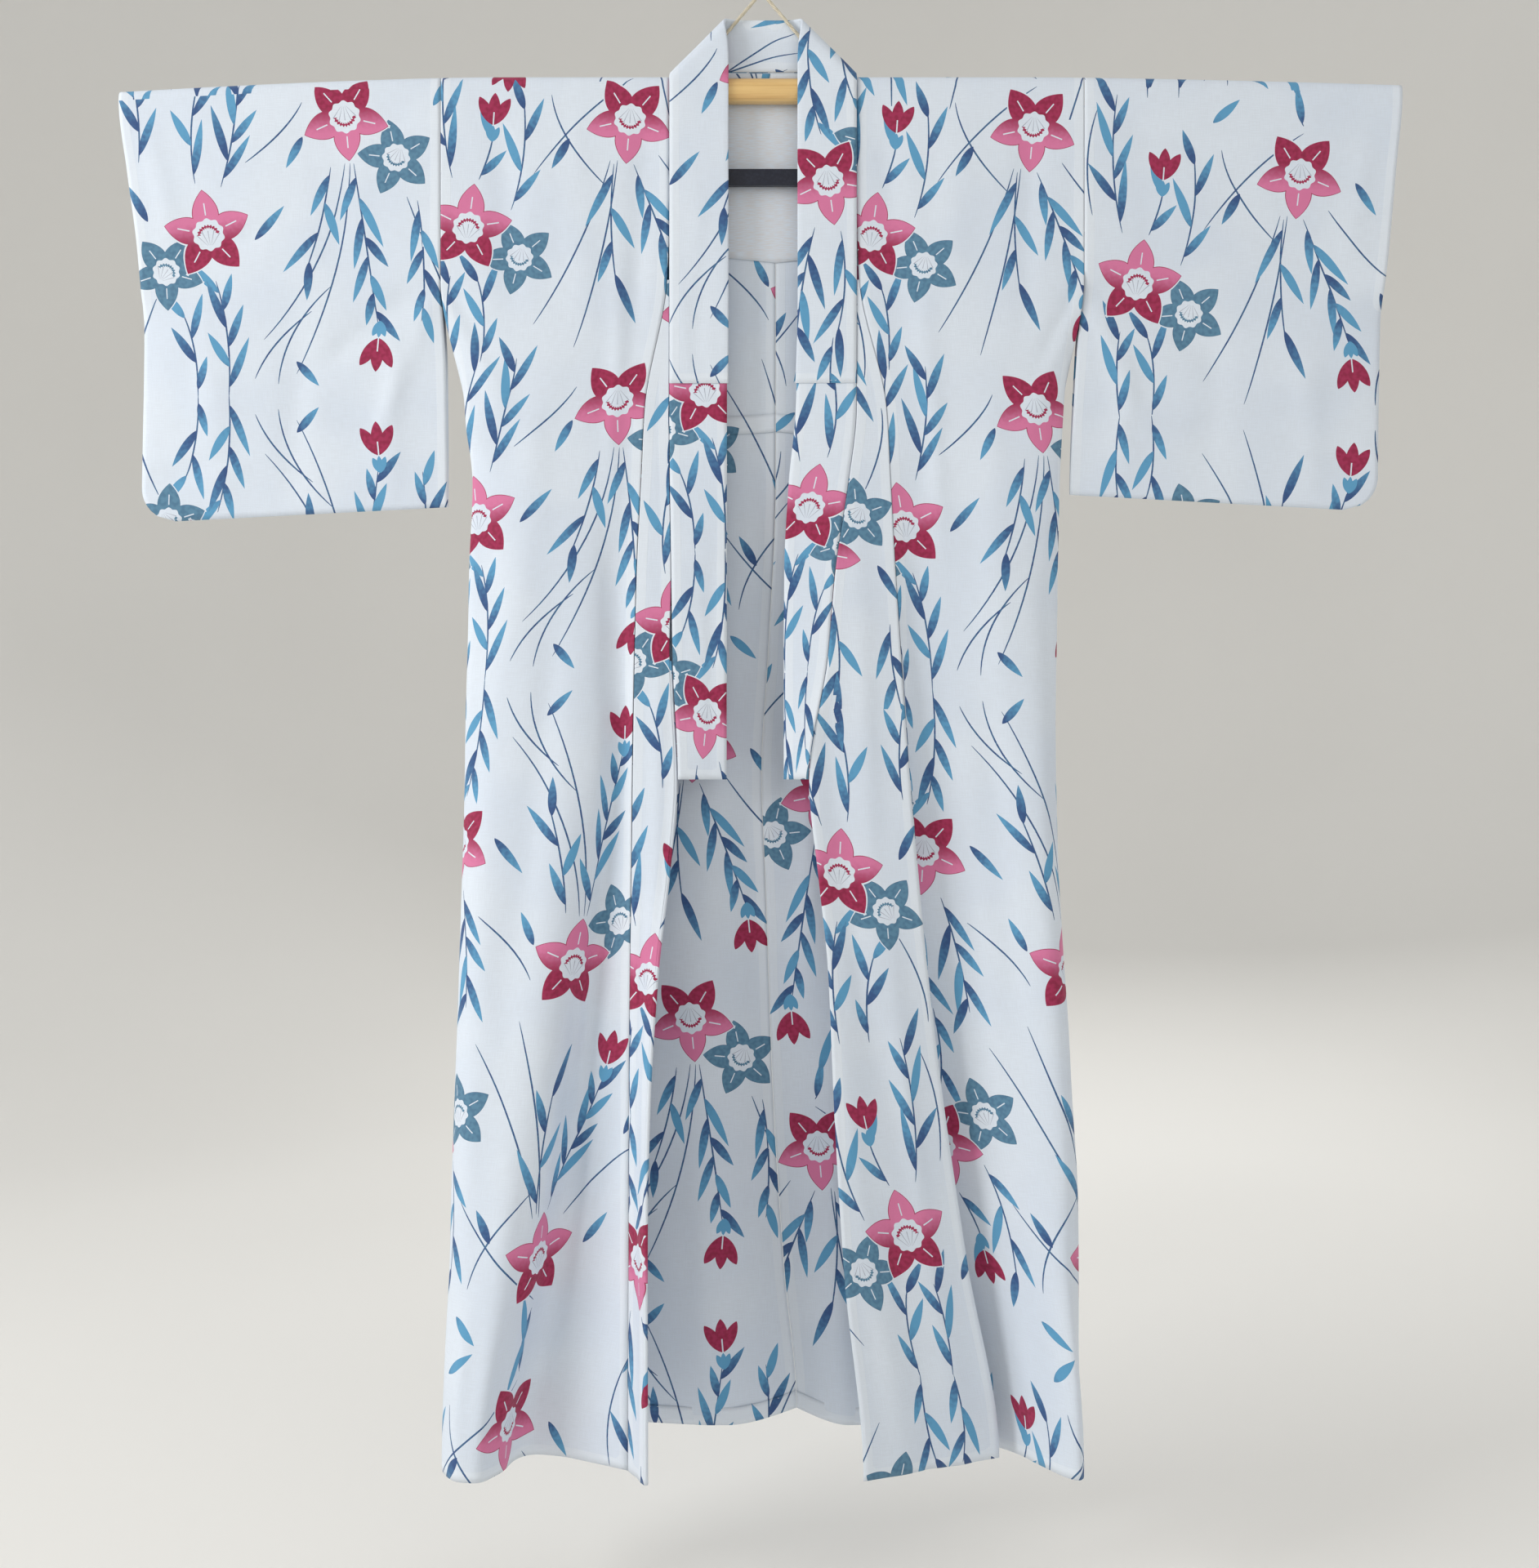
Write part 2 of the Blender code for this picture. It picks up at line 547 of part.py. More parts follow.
def build_right_overlap():
    """Overlap panel whose inner part is turned back behind the front."""
    side = "right"
    sheet = Sheet()
    rows = [z for z in ROW_Z if z <= OVERLAP_TOP_ROW_Z]
    first_turned = rows.index(TURN_BACK_ROW_Z)
    for j, z in enumerate(rows):
        before, seam = (Vector(knot) for knot in front_section(side, z)[-2:])
        free = Vector(OVERLAP[side].point("free", z))
        heading = (free - seam).normalized()
        outward = Vector((heading.y, -heading.x))
        # Where the overlap bends forward from the panel, its wall starts clear of the panel's
        bend_forward = max(0.0, -(seam - before).normalized().cross(heading))
        seam += heading * (2.0 * SEAM + CLOTH * bend_forward)
        turns_back = j >= first_turned
        end = free - heading * (TURN_RADIUS + CLOTH) if turns_back else free
        for i in range(OVERLAP_COLUMNS):
            x, y = seam.lerp(end, i / (OVERLAP_COLUMNS - 1))
            sheet.put(("flat", j, i), (x, y, panel_z(z, x, FRONT_HEM_Z)))
        if not turns_back:
            continue
        row = j - first_turned
        centre = end - outward * TURN_RADIUS
        sheet.index[("turn", row, 0)] = sheet.index[("flat", j, OVERLAP_COLUMNS - 1)]
        for step in range(1, TURN_STEPS + 1):
            angle = math.pi * step / TURN_STEPS
            x, y = centre + (outward * math.cos(angle) + heading * math.sin(angle)) * TURN_RADIUS
            sheet.put(("turn", row, step), (x, y, panel_z(z, x, FRONT_HEM_Z)))
        lap = OVERLAP[side].at("lap", z) * MM
        lap_gap = OVERLAP[side].at("lap_gap", z) * MM
        last = end - outward * 2.0 * TURN_RADIUS
        bend = max(seam.x + LAP_BEND, last.x - lap / 2.0)
        for step in range(1, LAP_COLUMNS + 1):
            share = (step - 1.0) / (LAP_COLUMNS - 1)
            x = bend + (last.x - lap - bend) * share
            y = front_depth(side, z, x) + lap_gap
            sheet.put(("turn", row, TURN_STEPS + step), (x, y, panel_z(z, x, FRONT_HEM_Z)))
    sheet.grid("flat", len(rows), OVERLAP_COLUMNS, False)
    sheet.grid("turn", len(rows) - first_turned, TURN_STEPS + LAP_COLUMNS + 1, False)
    sheet.build("overlap_right", "cotton", CLOTH)


def build_left_overlap():
    """Overlap panel that hangs open, forward of the front panel's fold."""
    side = "left"
    sheet = Sheet()
    rows = [z for z in ROW_Z if z <= OVERLAP_TOP_ROW_Z]
    for j, z in enumerate(rows):
        seam = Vector(FRONT[side].point("seam", z)) + Vector((-SEAM, -EDGE_SEAM))
        free = Vector(OVERLAP[side].point("free", z)) + Vector((0.0, -EDGE_SEAM))
        for i in range(OVERLAP_COLUMNS):
            x, y = seam.lerp(free, i / (OVERLAP_COLUMNS - 1))
            sheet.put(("flat", j, i), (x, y, panel_z(z, x, FRONT_HEM_Z)))
    sheet.grid("flat", len(rows), OVERLAP_COLUMNS, True)
    sheet.build("overlap_left", "cotton", CLOTH)


def sleeve_point(side, face, row, column):
    """Point of a sleeve's inner face; face is -1 for the front layer and 1 for the back."""
    v = row / (SLEEVE_ROWS - 1)
    inner_bottom, outer_bottom = SLEEVE_BOTTOM_Z[side]
    nominal_z = PANEL_TOP_Z / MM + (outer_bottom - PANEL_TOP_Z / MM) * v
    inner_x = SLEEVE_INNER[side].at("x", nominal_z) * MM
    outer_x = SLEEVE_CUFF[side].at("x", nominal_z) * MM
    above = (1.0 - v) * (PANEL_TOP_Z - outer_bottom * MM)
    if above < SLEEVE_CORNER:
        cut = SLEEVE_CORNER - math.sqrt(SLEEVE_CORNER ** 2 - (SLEEVE_CORNER - above) ** 2)
        outer_x -= SIDES[side] * cut
    u = column / (SLEEVE_COLUMNS - 1)
    x = inner_x + (outer_x - inner_x) * u
    bottom = inner_bottom + (outer_bottom - inner_bottom) * u
    top = PANEL_TOP_Z - bow(x)
    z = top + (bottom * MM - top) * v
    hang = (1.0 - v) ** SLEEVE_FALL
    if z > ARMHOLE_END_Z:
        seam_share = max(0.0, 1.0 - abs(x - inner_x) / CUFF_PINCH)
        hang += (1.0 - hang) * seam_share
    pinch = 1.0
    if row >= CUFF_ROW:
        pinch = min(1.0, abs(outer_x - x) / CUFF_PINCH) ** PINCH_POWER
    half_gap = SEWN_HALF_GAP + (FOLD_HALF_DEPTH - SEWN_HALF_GAP) * hang * pinch
    return Vector((x, FOLD_MID_Y + face * half_gap, z))


def build_sleeve(side):
    """One sleeve: folded over the rod, sewn along the bottom and below the cuff."""
    sheet = Sheet()
    turned = side == "right"
    last_row = SLEEVE_ROWS - 1
    last_column = SLEEVE_COLUMNS - 1
    for i in range(SLEEVE_COLUMNS):
        for name, face in (("front", -1.0), ("back", 1.0)):
            for j in range(SLEEVE_ROWS):
                sheet.put((name, j, i), sleeve_point(side, face, j, i))
        x = sheet.points[sheet.index[("front", 0, i)]].x
        sheet.index[("fold", 0, i)] = sheet.index[("back", 0, i)]
        sheet.index[("fold", FOLD_STEPS, i)] = sheet.index[("front", 0, i)]
        for step in range(1, FOLD_STEPS):
            sheet.put(("fold", step, i), shoulder_fold(x, FOLD_STEPS - step))
    sheet.grid("front", SLEEVE_ROWS, SLEEVE_COLUMNS, turned)
    sheet.grid("back", SLEEVE_ROWS, SLEEVE_COLUMNS, not turned)
    sheet.grid("fold", FOLD_STEPS + 1, SLEEVE_COLUMNS, turned)
    for i in range(last_column):
        sheet.cell(("front", last_row, i), ("back", last_row, i),
                   ("back", last_row, i + 1), ("front", last_row, i + 1), turned=turned)
    for j in range(CUFF_ROW, last_row):
        sheet.cell(("front", j, last_column), ("front", j + 1, last_column),
                   ("back", j + 1, last_column), ("back", j, last_column), turned=turned)
    sheet.build("sleeve_" + side, "cotton", CLOTH)


def strip_width(height):
    """Width of the collar strip, narrower behind the neck."""
    start, end = NARROWING
    t = max(0.0, min(1.0, (height - start) / (end - start)))
    return COLLAR_WIDTH + (COLLAR_NECK_WIDTH - COLLAR_WIDTH) * t * t * (3.0 - 2.0 * t)


def collar_point(side, height, w, lift):
    """Point on the collar band.

    height is measured along the flat strip, w from the seam edge to the free edge, and
    lift moves the point out of the band's middle, towards the outside of the garment.
    Above the shoulder the strip rolls over a slanting line and runs level behind the neck.
    """
    sign = SIDES[side]
    seam_x = COLLAR_SEAM_X[side]
    q = (height - ROLL_START_Z - w) / math.sqrt(2.0)
    if q <= 1e-9:
        z = height / MM
        share = w / COLLAR_WIDTH
        table = COLLAR[side]
        x_seam, y_seam = table.point("seam", z)
        x_free, y_free = table.point("free", z)
        run = Vector((x_free - x_seam, y_free - y_seam))
        outward = Vector((run.y, -run.x)).normalized() * -sign
        x = x_seam + run.x * share + outward.x * lift
        y = y_seam + run.y * share + outward.y * lift
        return Vector((x, y, height))
    t = (height - ROLL_START_Z + w) / math.sqrt(2.0)
    slant = Vector((-sign, 0.0, 1.0)) / math.sqrt(2.0)
    away = Vector((sign, 0.0, 1.0)) / math.sqrt(2.0)
    base = Vector((seam_x, COLLAR_Y, ROLL_START_Z)) + slant * t
    turn = min(q / ROLL_RADIUS, math.pi)
    beyond = max(0.0, q - math.pi * ROLL_RADIUS)
    radius = ROLL_RADIUS + lift
    point = base + away * (radius * math.sin(turn) - beyond)
    point.y += ROLL_RADIUS - radius * math.cos(turn)
    return point


def collar_rows(rows_below):
    """Rows across one half of the strip, as (start height, slant), end to centre back.

    A row's height is start + slant * w: level below the shoulder, slanting at 45 degrees
    along the roll, and level again at the centre back.
    """
    reach = (COLLAR_SEAM_X["left"] - COLLAR_SEAM_X["right"]) / 2.0
    centre = ROLL_START_Z + reach + math.pi * ROLL_RADIUS / math.sqrt(2.0)
    rows = [(z * MM, 0.0) for z in reversed(rows_below)]
    for step in range(ROLL_STEPS + 1):
        q = math.pi * ROLL_RADIUS * step / ROLL_STEPS
        rows.append((ROLL_START_Z + q * math.sqrt(2.0), 1.0))
    last = rows[-1][0]
    rows.append(((last + centre) / 2.0, 0.5))
    rows.append((centre, 0.0))
    return rows


def collar_strip(sheet, section, rows_below):
    """Fill a sheet along the whole strip: section lists (share, extra, lift) across it."""
    rows = collar_rows(rows_below)
    stations = [("right", row) for row in rows]
    stations += [("left", row) for row in reversed(rows[:-1])]
    for j, (side, (start, slant)) in enumerate(stations):
        for i, (share, extra, lift) in enumerate(section):
            w = share * COLLAR_WIDTH
            w = share * strip_width(start + slant * w) + extra
            sheet.put(("strip", j, i), collar_point(side, start + slant * w, w, lift))
    sheet.grid("strip", len(stations), len(section), True)


def build_collar():
    sheet = Sheet()
    section = [(i / COLLAR_COLUMNS, 0.0, 0.0) for i in range(COLLAR_COLUMNS + 1)]
    collar_strip(sheet, section, COLLAR_ROW_Z)
    sheet.build("collar", "cotton", COLLAR_WALL, 0.0)


def build_collar_cover():
    """Second strip folded round the collar's free edge, over its middle stretch."""
    sheet = Sheet()
    lift = COLLAR_WALL / 2.0 + SEAM
    shares = [i / COLLAR_COLUMNS for i in range(COLLAR_COLUMNS + 1)]
    section = [(share, 0.0, lift) for share in shares]
    section += [(1.0, COVER_WRAP, lift / 2.0), (1.0, COVER_WRAP, -lift / 2.0)]
    section += [(share, 0.0, -lift) for share in reversed(shares)]
    collar_strip(sheet, section, COVER_ROW_Z)
    sheet.build("collar_cover", "cotton", COVER_WALL)


def build_shoulder_lining():
    """Plain lining inside the back of the shoulders, pointed at the centre seam."""
    sheet = Sheet()
    for i in range(LINING_COLUMNS + 1):
        x = LINING_HALF_WIDTH * (2.0 * i / LINING_COLUMNS - 1.0)
        from_centre = abs(x - CENTRE_SEAM.at("x", LINING_END_Z))
        middle = max(0.0, 1.0 - from_centre / LINING_POINT_HALF_WIDTH)
        end = LINING_END_Z + (LINING_POINT_Z - LINING_END_Z) * middle
        for j in range(LINING_ROWS + 1):
            z = LINING_TOP_Z + (end - LINING_TOP_Z) * j / LINING_ROWS
            sheet.put(("flat", j, i), (x * MM, BACK_Y - SEAM, z * MM))
    sheet.grid("flat", LINING_ROWS + 1, LINING_COLUMNS + 1, False)
    sheet.build("shoulder_lining", "lining", LINING_WALL)


def build_tuck(side):
    """Tuck band across the inside of one back panel."""
    sheet = Sheet()
    for i in range(TUCK_COLUMNS + 1):
        share = TUCK_START_SHARE + (1.0 - TUCK_START_SHARE) * i / TUCK_COLUMNS
        for j, z in enumerate((TUCK_TOP_Z, TUCK_END_Z)):
            point = back_point(side, z, share)
            sheet.put(("flat", j, i), (point.x, point.y - 2.0 * SEAM, point.z))
    sheet.grid("flat", 2, TUCK_COLUMNS + 1, side == "left")
    sheet.build("tuck_" + side, "cotton", TUCK_WALL)


def closed_tube(name, rings, look):
    """Closed solid through rings of points, with flat ends."""
    count = len(rings[0])
    points = [point for ring in rings for point in ring]
    faces = []
    for j in range(len(rings) - 1):
        for i in range(count):
            k = (i + 1) % count
            faces.append([j * count + i, j * count + k, (j + 1) * count + k, (j + 1) * count + i])
    faces.append(list(range(count))[::-1])
    last = (len(rings) - 1) * count
    faces.append([last + i for i in range(count)])
    return mesh_object(name, points, faces, look)


def build_rod(name, start, end, stations):
    """One length of the bowed wooden rod with rounded sides."""
    rings = []
    for j in range(stations + 1):
        x = start + (end - start) * j / stations
        ring = []
        for i in range(ROD_SIDES):
            across, up = rounded_box(2.0 * math.pi * i / ROD_SIDES)
            z = ROD_TOP_Z - ROD_HEIGHT / 2.0 - bow(x) + up * ROD_HEIGHT / 2.0
            ring.append(Vector((x, across * ROD_DEPTH / 2.0, z)))
        rings.append(ring)
    closed_tube(name, rings, "wood")


def build_block(name, size, centre, bevel, look):
    half = Vector(size) / 2.0
    corners = []
    for z in (-1, 1):
        for x, y in ((-1, -1), (1, -1), (1, 1), (-1, 1)):
            corners.append(Vector((x * half.x, y * half.y, z * half.z)))
    faces = [[3, 2, 1, 0], [4, 5, 6, 7], [0, 1, 5, 4], [1, 2, 6, 5], [2, 3, 7, 6], [3, 0, 4, 7]]
    item = mesh_object(name, corners, faces, look)
    item.location = centre
    edge = item.modifiers.new("Edge", "BEVEL")
    edge.width = bevel
    edge.segments = 2


def build_round_post(name, radius, low_z, high_z, x, look):
    rings = []
    for z in (low_z, high_z):
        ring = []
        for i in range(POST_SIDES):
            angle = 2.0 * math.pi * i / POST_SIDES
            ring.append(Vector((x + radius * math.cos(angle), radius * math.sin(angle), z)))
        rings.append(ring)
    closed_tube(name, rings, look)


def build_hanger():
    # The middle of the rod is straight, and its two arms droop towards their ends
    build_rod("rod", -BOW_START, BOW_START, ROD_MIDDLE_STATIONS)
    build_rod("rod_arm_right", -ROD_HALF_LENGTH, -BOW_START - SEAM, ROD_ARM_STATIONS)
    build_rod("rod_arm_left", BOW_START + SEAM, ROD_HALF_LENGTH, ROD_ARM_STATIONS)
    bar_z = BAR_TOP_Z - BAR_HEIGHT / 2.0
    build_block("lower_bar", (BAR_LENGTH, BAR_DEPTH, BAR_HEIGHT), (0.0, 0.0, bar_z), BAR_BEVEL, "bar")
    for side, sign in SIDES.items():
        low = BAR_TOP_Z + SEAM
        high = ROD_TOP_Z - ROD_HEIGHT - SEAM
        build_round_post("link_" + side, LINK_RADIUS, low, high, sign * LINK_X, "steel")
        low = ROD_TOP_Z + SEAM
        build_round_post("ferrule_" + side, FERRULE_RADIUS, low, low + FERRULE_HEIGHT,
                         sign * FERRULE_X, "brass")


def smooth_route(route, count):
    """Points spaced along a smooth curve through the route's own points."""
    ends = [route[0]] + route + [route[-1]]
    fine = []
    for k in range(1, len(ends) - 2):
        p0, p1, p2, p3 = (Vector(ends[k + d]) for d in (-1, 0, 1, 2))
        for step in range(CORD_SUBSTEPS):
            t = step / CORD_SUBSTEPS
            fine.append(0.5 * (2 * p1 + (p2 - p0) * t + (2 * p0 - 5 * p1 + 4 * p2 - p3) * t ** 2
                               + (3 * p1 - p0 - 3 * p2 + p3) * t ** 3))
    fine.append(Vector(route[-1]))
    lengths = [0.0]
    for a, b in zip(fine, fine[1:]):
        lengths.append(lengths[-1] + (b - a).length)
    points = []
    for k in range(count):
        target = lengths[-1] * k / (count - 1)
        index = 0
        while index < len(fine) - 2 and lengths[index + 1] < target:
            index += 1
        share = (target - lengths[index]) / (lengths[index + 1] - lengths[index])
        points.append(fine[index].lerp(fine[index + 1], share))
    return points


def build_cord():
    curve = bpy.data.curves.new("hang_cord", "CURVE")
    curve.dimensions = "3D"
    curve.bevel_depth = CORD_RADIUS
    curve.bevel_resolution = 2
    curve.use_fill_caps = True
    points = smooth_route(CORD_ROUTE, CORD_POINTS)
    spline = curve.splines.new("POLY")
    spline.points.add(len(points) - 1)
    for target, point in zip(spline.points, points):
        target.co = (point.x * MM, 0.0, point.y * MM, 1.0)
    item = bpy.data.objects.new("hang_cord", curve)
    bpy.context.scene.collection.objects.link(item)
    finish_object(item, "cord")


def main():
    clear_scene()
    for side in SIDES:
        build_body(side)
        build_sleeve(side)
        build_tuck(side)
    build_right_overlap()
    build_left_overlap()
    build_collar()
    build_collar_cover()
    build_shoulder_lining()
    build_hanger()
    build_cord()


main()
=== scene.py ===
"""Looks of a cotton yukata robe hanging on a wooden kimono hanger.

The robe's cut and sewn pieces are laid out again as fine sheets on the form of the
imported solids, with their creases, dyed print and stitching. All lengths are in metres,
the tables are in millimetres, +Z is up and -Y points to the viewer.
"""
import math
from functools import lru_cache

import bmesh
import bpy
import numpy as np
from bpy.props import FloatProperty, FloatVectorProperty, PointerProperty
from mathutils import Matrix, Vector
from mathutils.kdtree import KDTree


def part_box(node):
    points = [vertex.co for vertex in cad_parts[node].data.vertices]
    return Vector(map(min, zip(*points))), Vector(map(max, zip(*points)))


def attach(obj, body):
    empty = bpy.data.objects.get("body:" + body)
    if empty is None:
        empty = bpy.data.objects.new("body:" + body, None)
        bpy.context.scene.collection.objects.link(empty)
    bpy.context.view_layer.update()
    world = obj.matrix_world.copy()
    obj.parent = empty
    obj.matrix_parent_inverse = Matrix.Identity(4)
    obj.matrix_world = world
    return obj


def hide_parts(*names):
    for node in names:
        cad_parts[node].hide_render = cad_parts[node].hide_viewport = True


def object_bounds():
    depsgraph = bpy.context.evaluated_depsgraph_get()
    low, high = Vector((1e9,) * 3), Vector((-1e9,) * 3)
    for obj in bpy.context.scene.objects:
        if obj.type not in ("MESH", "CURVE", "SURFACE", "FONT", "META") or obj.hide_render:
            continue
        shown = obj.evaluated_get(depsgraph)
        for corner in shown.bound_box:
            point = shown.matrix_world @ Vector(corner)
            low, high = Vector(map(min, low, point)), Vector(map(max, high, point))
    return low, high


bl_info = {
    "name": "Yukata robe on a kimono hanger",
    "version": (1, 0, 0),
    "blender": (4, 5, 0),
    "location": "View3D > Sidebar > Yukata",
    "description": "Printed cotton sheets, stitching and hanger finishes for a hanging yukata robe",
    "category": "Object",
}

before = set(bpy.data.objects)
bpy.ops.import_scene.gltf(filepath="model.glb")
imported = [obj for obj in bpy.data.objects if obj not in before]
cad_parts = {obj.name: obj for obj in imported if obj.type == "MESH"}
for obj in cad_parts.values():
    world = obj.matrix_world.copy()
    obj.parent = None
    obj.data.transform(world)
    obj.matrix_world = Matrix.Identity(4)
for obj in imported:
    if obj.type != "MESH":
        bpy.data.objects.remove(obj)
CAD_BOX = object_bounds()
ROD_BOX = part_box("rod")
ROOT = "root"
MM = 0.001

# Cloth layout shared with the solids; names that end in _Z without MM are in millimetres
SEAM = 0.3 * MM
WALL = 1.2 * MM
ROD_TOP_Z = ROD_BOX[1].z
ROD_ROUNDNESS = 2.8
BOW_START = ROD_BOX[1].x
BOW_SPAN = 420.0 * MM
BOW_DROP = {"right": 16.6 * MM, "left": 9.0 * MM}
FRONT_Y = -10.3 * MM
BACK_Y = 12.2 * MM
FOLD_MID_Y = (FRONT_Y + BACK_Y) / 2.0
FOLD_HALF_DEPTH = (BACK_Y - FRONT_Y) / 2.0
FOLD_RISE = 12.0 * MM
FOLD_ARC = 38.0 * MM
PANEL_TOP_Z = ROD_TOP_Z + SEAM - FOLD_RISE
TOP_MM = PANEL_TOP_Z / MM
FRONT_HEM_Z = -1636.0
BACK_HEM_Z = -1627.0
HEM_AT_SIDE_Z = -1630.0
HEM_AT_CENTRE_Z = -1613.0
HEM_SIDE_SHARE = 0.16
HEM_CENTRE_SHARE = 0.2
SIDES = {"right": -1.0, "left": 1.0}
# How far a back panel's cells are spread evenly, from the shoulder down to the waist
BACK_SPREAD = ((-475.0, -400.0, -330.0, -200.0, TOP_MM), (1.0, 0.75, 0.5, 0.25, 0.0))

# Fineness of the sheets, in cells across and down each patch
FRONT_CELLS = (64, 200)
FOLD_CELLS = 12
NECK_CELLS = 24
NECK_RISE_CELLS = 6
SLEEVE_CELLS = (84, 84)
OVERLAP_CELLS = (28, 170)
LAP_CELLS = (26, 120)
TURN_CELLS = 8
STRIP_CELLS = 14
STRIP_ROW = 7.0 * MM
COVER_TURN_CELLS = 6
LINING_CELLS = (90, 26)
BAND_CELLS = (90, 4)

# Overlap panels
TURN_RADIUS = 1.6 * MM
TURN_START_SPAN = 100.0
LAP_BEND = 2.0 * MM
LAP_BEND_SHARE = 0.25
OVERLAP_TOP_Z = -330.0
TURN_BACK_Z = -760.0

# Collar
COLLAR_SEAM_X = {"right": -103.5 * MM, "left": 107.0 * MM}
COLLAR_WIDTH = 65.0 * MM
COLLAR_NECK_WIDTH = 58.0 * MM
NARROWING = (-80.0 * MM, -5.0 * MM)
SLANT_RUN = 90.0 * MM
COLLAR_Y = -12.6 * MM
COLLAR_WALL = 1.6 * MM
COLLAR_SHEET_WALL = 1.4 * MM
COVER_TURN = 0.8 * MM
ROLL_RADIUS = 9.0 * MM
NECK_SEAM_Z = -89.0 * MM
ROLL_START_Z = NECK_SEAM_Z - math.pi * ROLL_RADIUS / math.sqrt(2.0)
NECK_BACK_Y = COLLAR_Y + 2.0 * ROLL_RADIUS - WALL / 2.0
COLLAR_END_Z = -892.0 * MM
COVER_END_Z = -447.0 * MM

# Sleeves
SLEEVE_BOTTOM_Z = {"right": (-582.5, -598.5), "left": (-568.5, -585.5)}
SLEEVE_CORNER = 37.0 * MM
CUFF_PINCH = 70.0 * MM
PINCH_POWER = 0.6
SLEEVE_FALL = 0.7
SEWN_HALF_GAP = 0.6 * MM
ARMHOLE_END_Z = -330.0 * MM
ARMHOLE_EASE = 30.0 * MM

# Inside of the back
LINING_TOP_Z = -112.0
LINING_END_Z = -297.0
LINING_POINT_Z = -303.0
LINING_POINT_HALF_WIDTH = 60.0
LINING_HALF_WIDTH = 352.0
TUCK_TOP_Z = -480.0
TUCK_END_Z = -501.0
TUCK_START_SHARE = 0.04
TUCK_INSET = 0.6 * MM
BAND_LIFT = 0.7 * MM
HEM_TURN_UP = 20.0
HEM_START_SHARE = 0.02
HEM_INSET = 0.1 * MM
HEM_LIFT = 0.3 * MM
HEM_WALL = 0.4 * MM

# Small level stitches
COVER_STITCHES = 13
HEM_STITCHES = 40
STITCH_LENGTH = 2.2 * MM
STITCH_WIDTH = 0.45 * MM
STITCH_HEIGHT = 0.35 * MM
STITCH_TOP_SHARE = 0.55

# Hanging cord: its route, x and z in millimetres, as in the solids, and its twist
CORD_RADIUS = 2.0 * MM
CORD_ROUTE = [
    (-80.0, -94.2), (-79.0, -90.5), (-68.0, -79.5), (-45.0, -53.0), (-22.0, -26.0), (-8.0, -9.5),
    (-3.2, -2.4), (0.0, -0.6), (3.2, -2.4),
    (8.0, -9.5), (22.0, -26.0), (45.0, -53.0), (68.0, -79.5), (79.0, -90.5), (80.0, -94.2),
]
ROUTE_STEPS = 24
CORD_POINTS = 260
CORD_SIDES = 18
CORD_LAY = 11.0 * MM
CORD_STRANDS = 3
CORD_GROOVE = 0.28
CORD_GIRTH = 12.0 * MM

# Creases and print
CREASE_DEPTH = 1.8
CREASE_FADE = 14.0 * MM
RIPPLE_HEIGHT = 0.25 * MM
CELL_WIDTH = 375.0
CELL_HEIGHT = 360.0
BOLT_END = 9000.0
SHOULDER = -92.0
NECK_MIDDLE = 16.0
LEAF_LAYERS = 4
STEM_LAYERS = 3
LEAF_SPREAD = math.radians(23.0)
LEAF_GROWTH = 1.14
STEM_STEPS = 16
FAR_AWAY = 9.0
MOTIF_REACH = 0.12

# Looks: motif shapes, threads, finishes of the fittings, stage, lights, camera and world
PETALS = 5
ARC_BEADS = 19.0
FAN_LINES = 9.0
STEM_WIDTH = 1.6 * MM
LEAF_HALF_WIDTHS = (4.7 * MM, 5.0 * MM)
# Where along a leaf its dye turns from dark to light, one pair for each layer
LEAF_TONES = [(0.05, 0.95), (-0.5, 0.55), (0.15, 1.05), (0.25, 1.45)]
ALLOWANCE = 11.5 * MM
SLUB_STRETCH = (70.0, 1400.0, 1.0)
WARP_STRETCH = (1600.0, 60.0, 1.0)
FITTINGS = {
    "bar": ("black bar", (0.006, 0.008, 0.02), (0.015, 0.018, 0.035), 0.35, 0.0),
    "steel": ("link steel", (0.55, 0.55, 0.56), (0.40, 0.40, 0.41), 0.32, 1.0),
    "brass": ("ferrule brass", (0.70, 0.50, 0.20), (0.50, 0.34, 0.12), 0.32, 1.0),
    "thread": ("white thread", (0.80, 0.80, 0.82), (0.66, 0.67, 0.72), 0.8, 0.0),
}
HANGER_FINISHES = {
    "rod": "wood", "rod_arm_right": "wood", "rod_arm_left": "wood", "lower_bar": "bar",
    "link_right": "steel", "link_left": "steel", "ferrule_right": "brass", "ferrule_left": "brass",
}
FLOOR_LIGHT = (0.84, 0.83, 0.80)
FLOOR_DARK = (0.82, 0.81, 0.78)
STAGE_FLAT = 2.6
STAGE_CURVE = 2.9
STAGE_HEIGHT = 5.4
STAGE_STEPS = 16
STAGE_DROP = 0.16
LIGHTS = (
    ("key_light", (-3.0, -1.5, 0.2), 1.5, 62.0),
    ("fill_light", (1.4, -3.0, -0.6), 2.8, 16.0),
    ("back_light", (0.8, 2.8, 0.6), 2.6, 36.0),
)
LIGHT_TARGET = Vector((0.0, 0.0, -0.8))
PHOTO_DISTANCE = 1.8
PHOTO_HEIGHT = 1.776
PHOTO_X = 0.009
PHOTO_Z = -0.897
WORLD_COLOR = (0.88, 0.88, 0.88)
WORLD_STRENGTH = 0.66


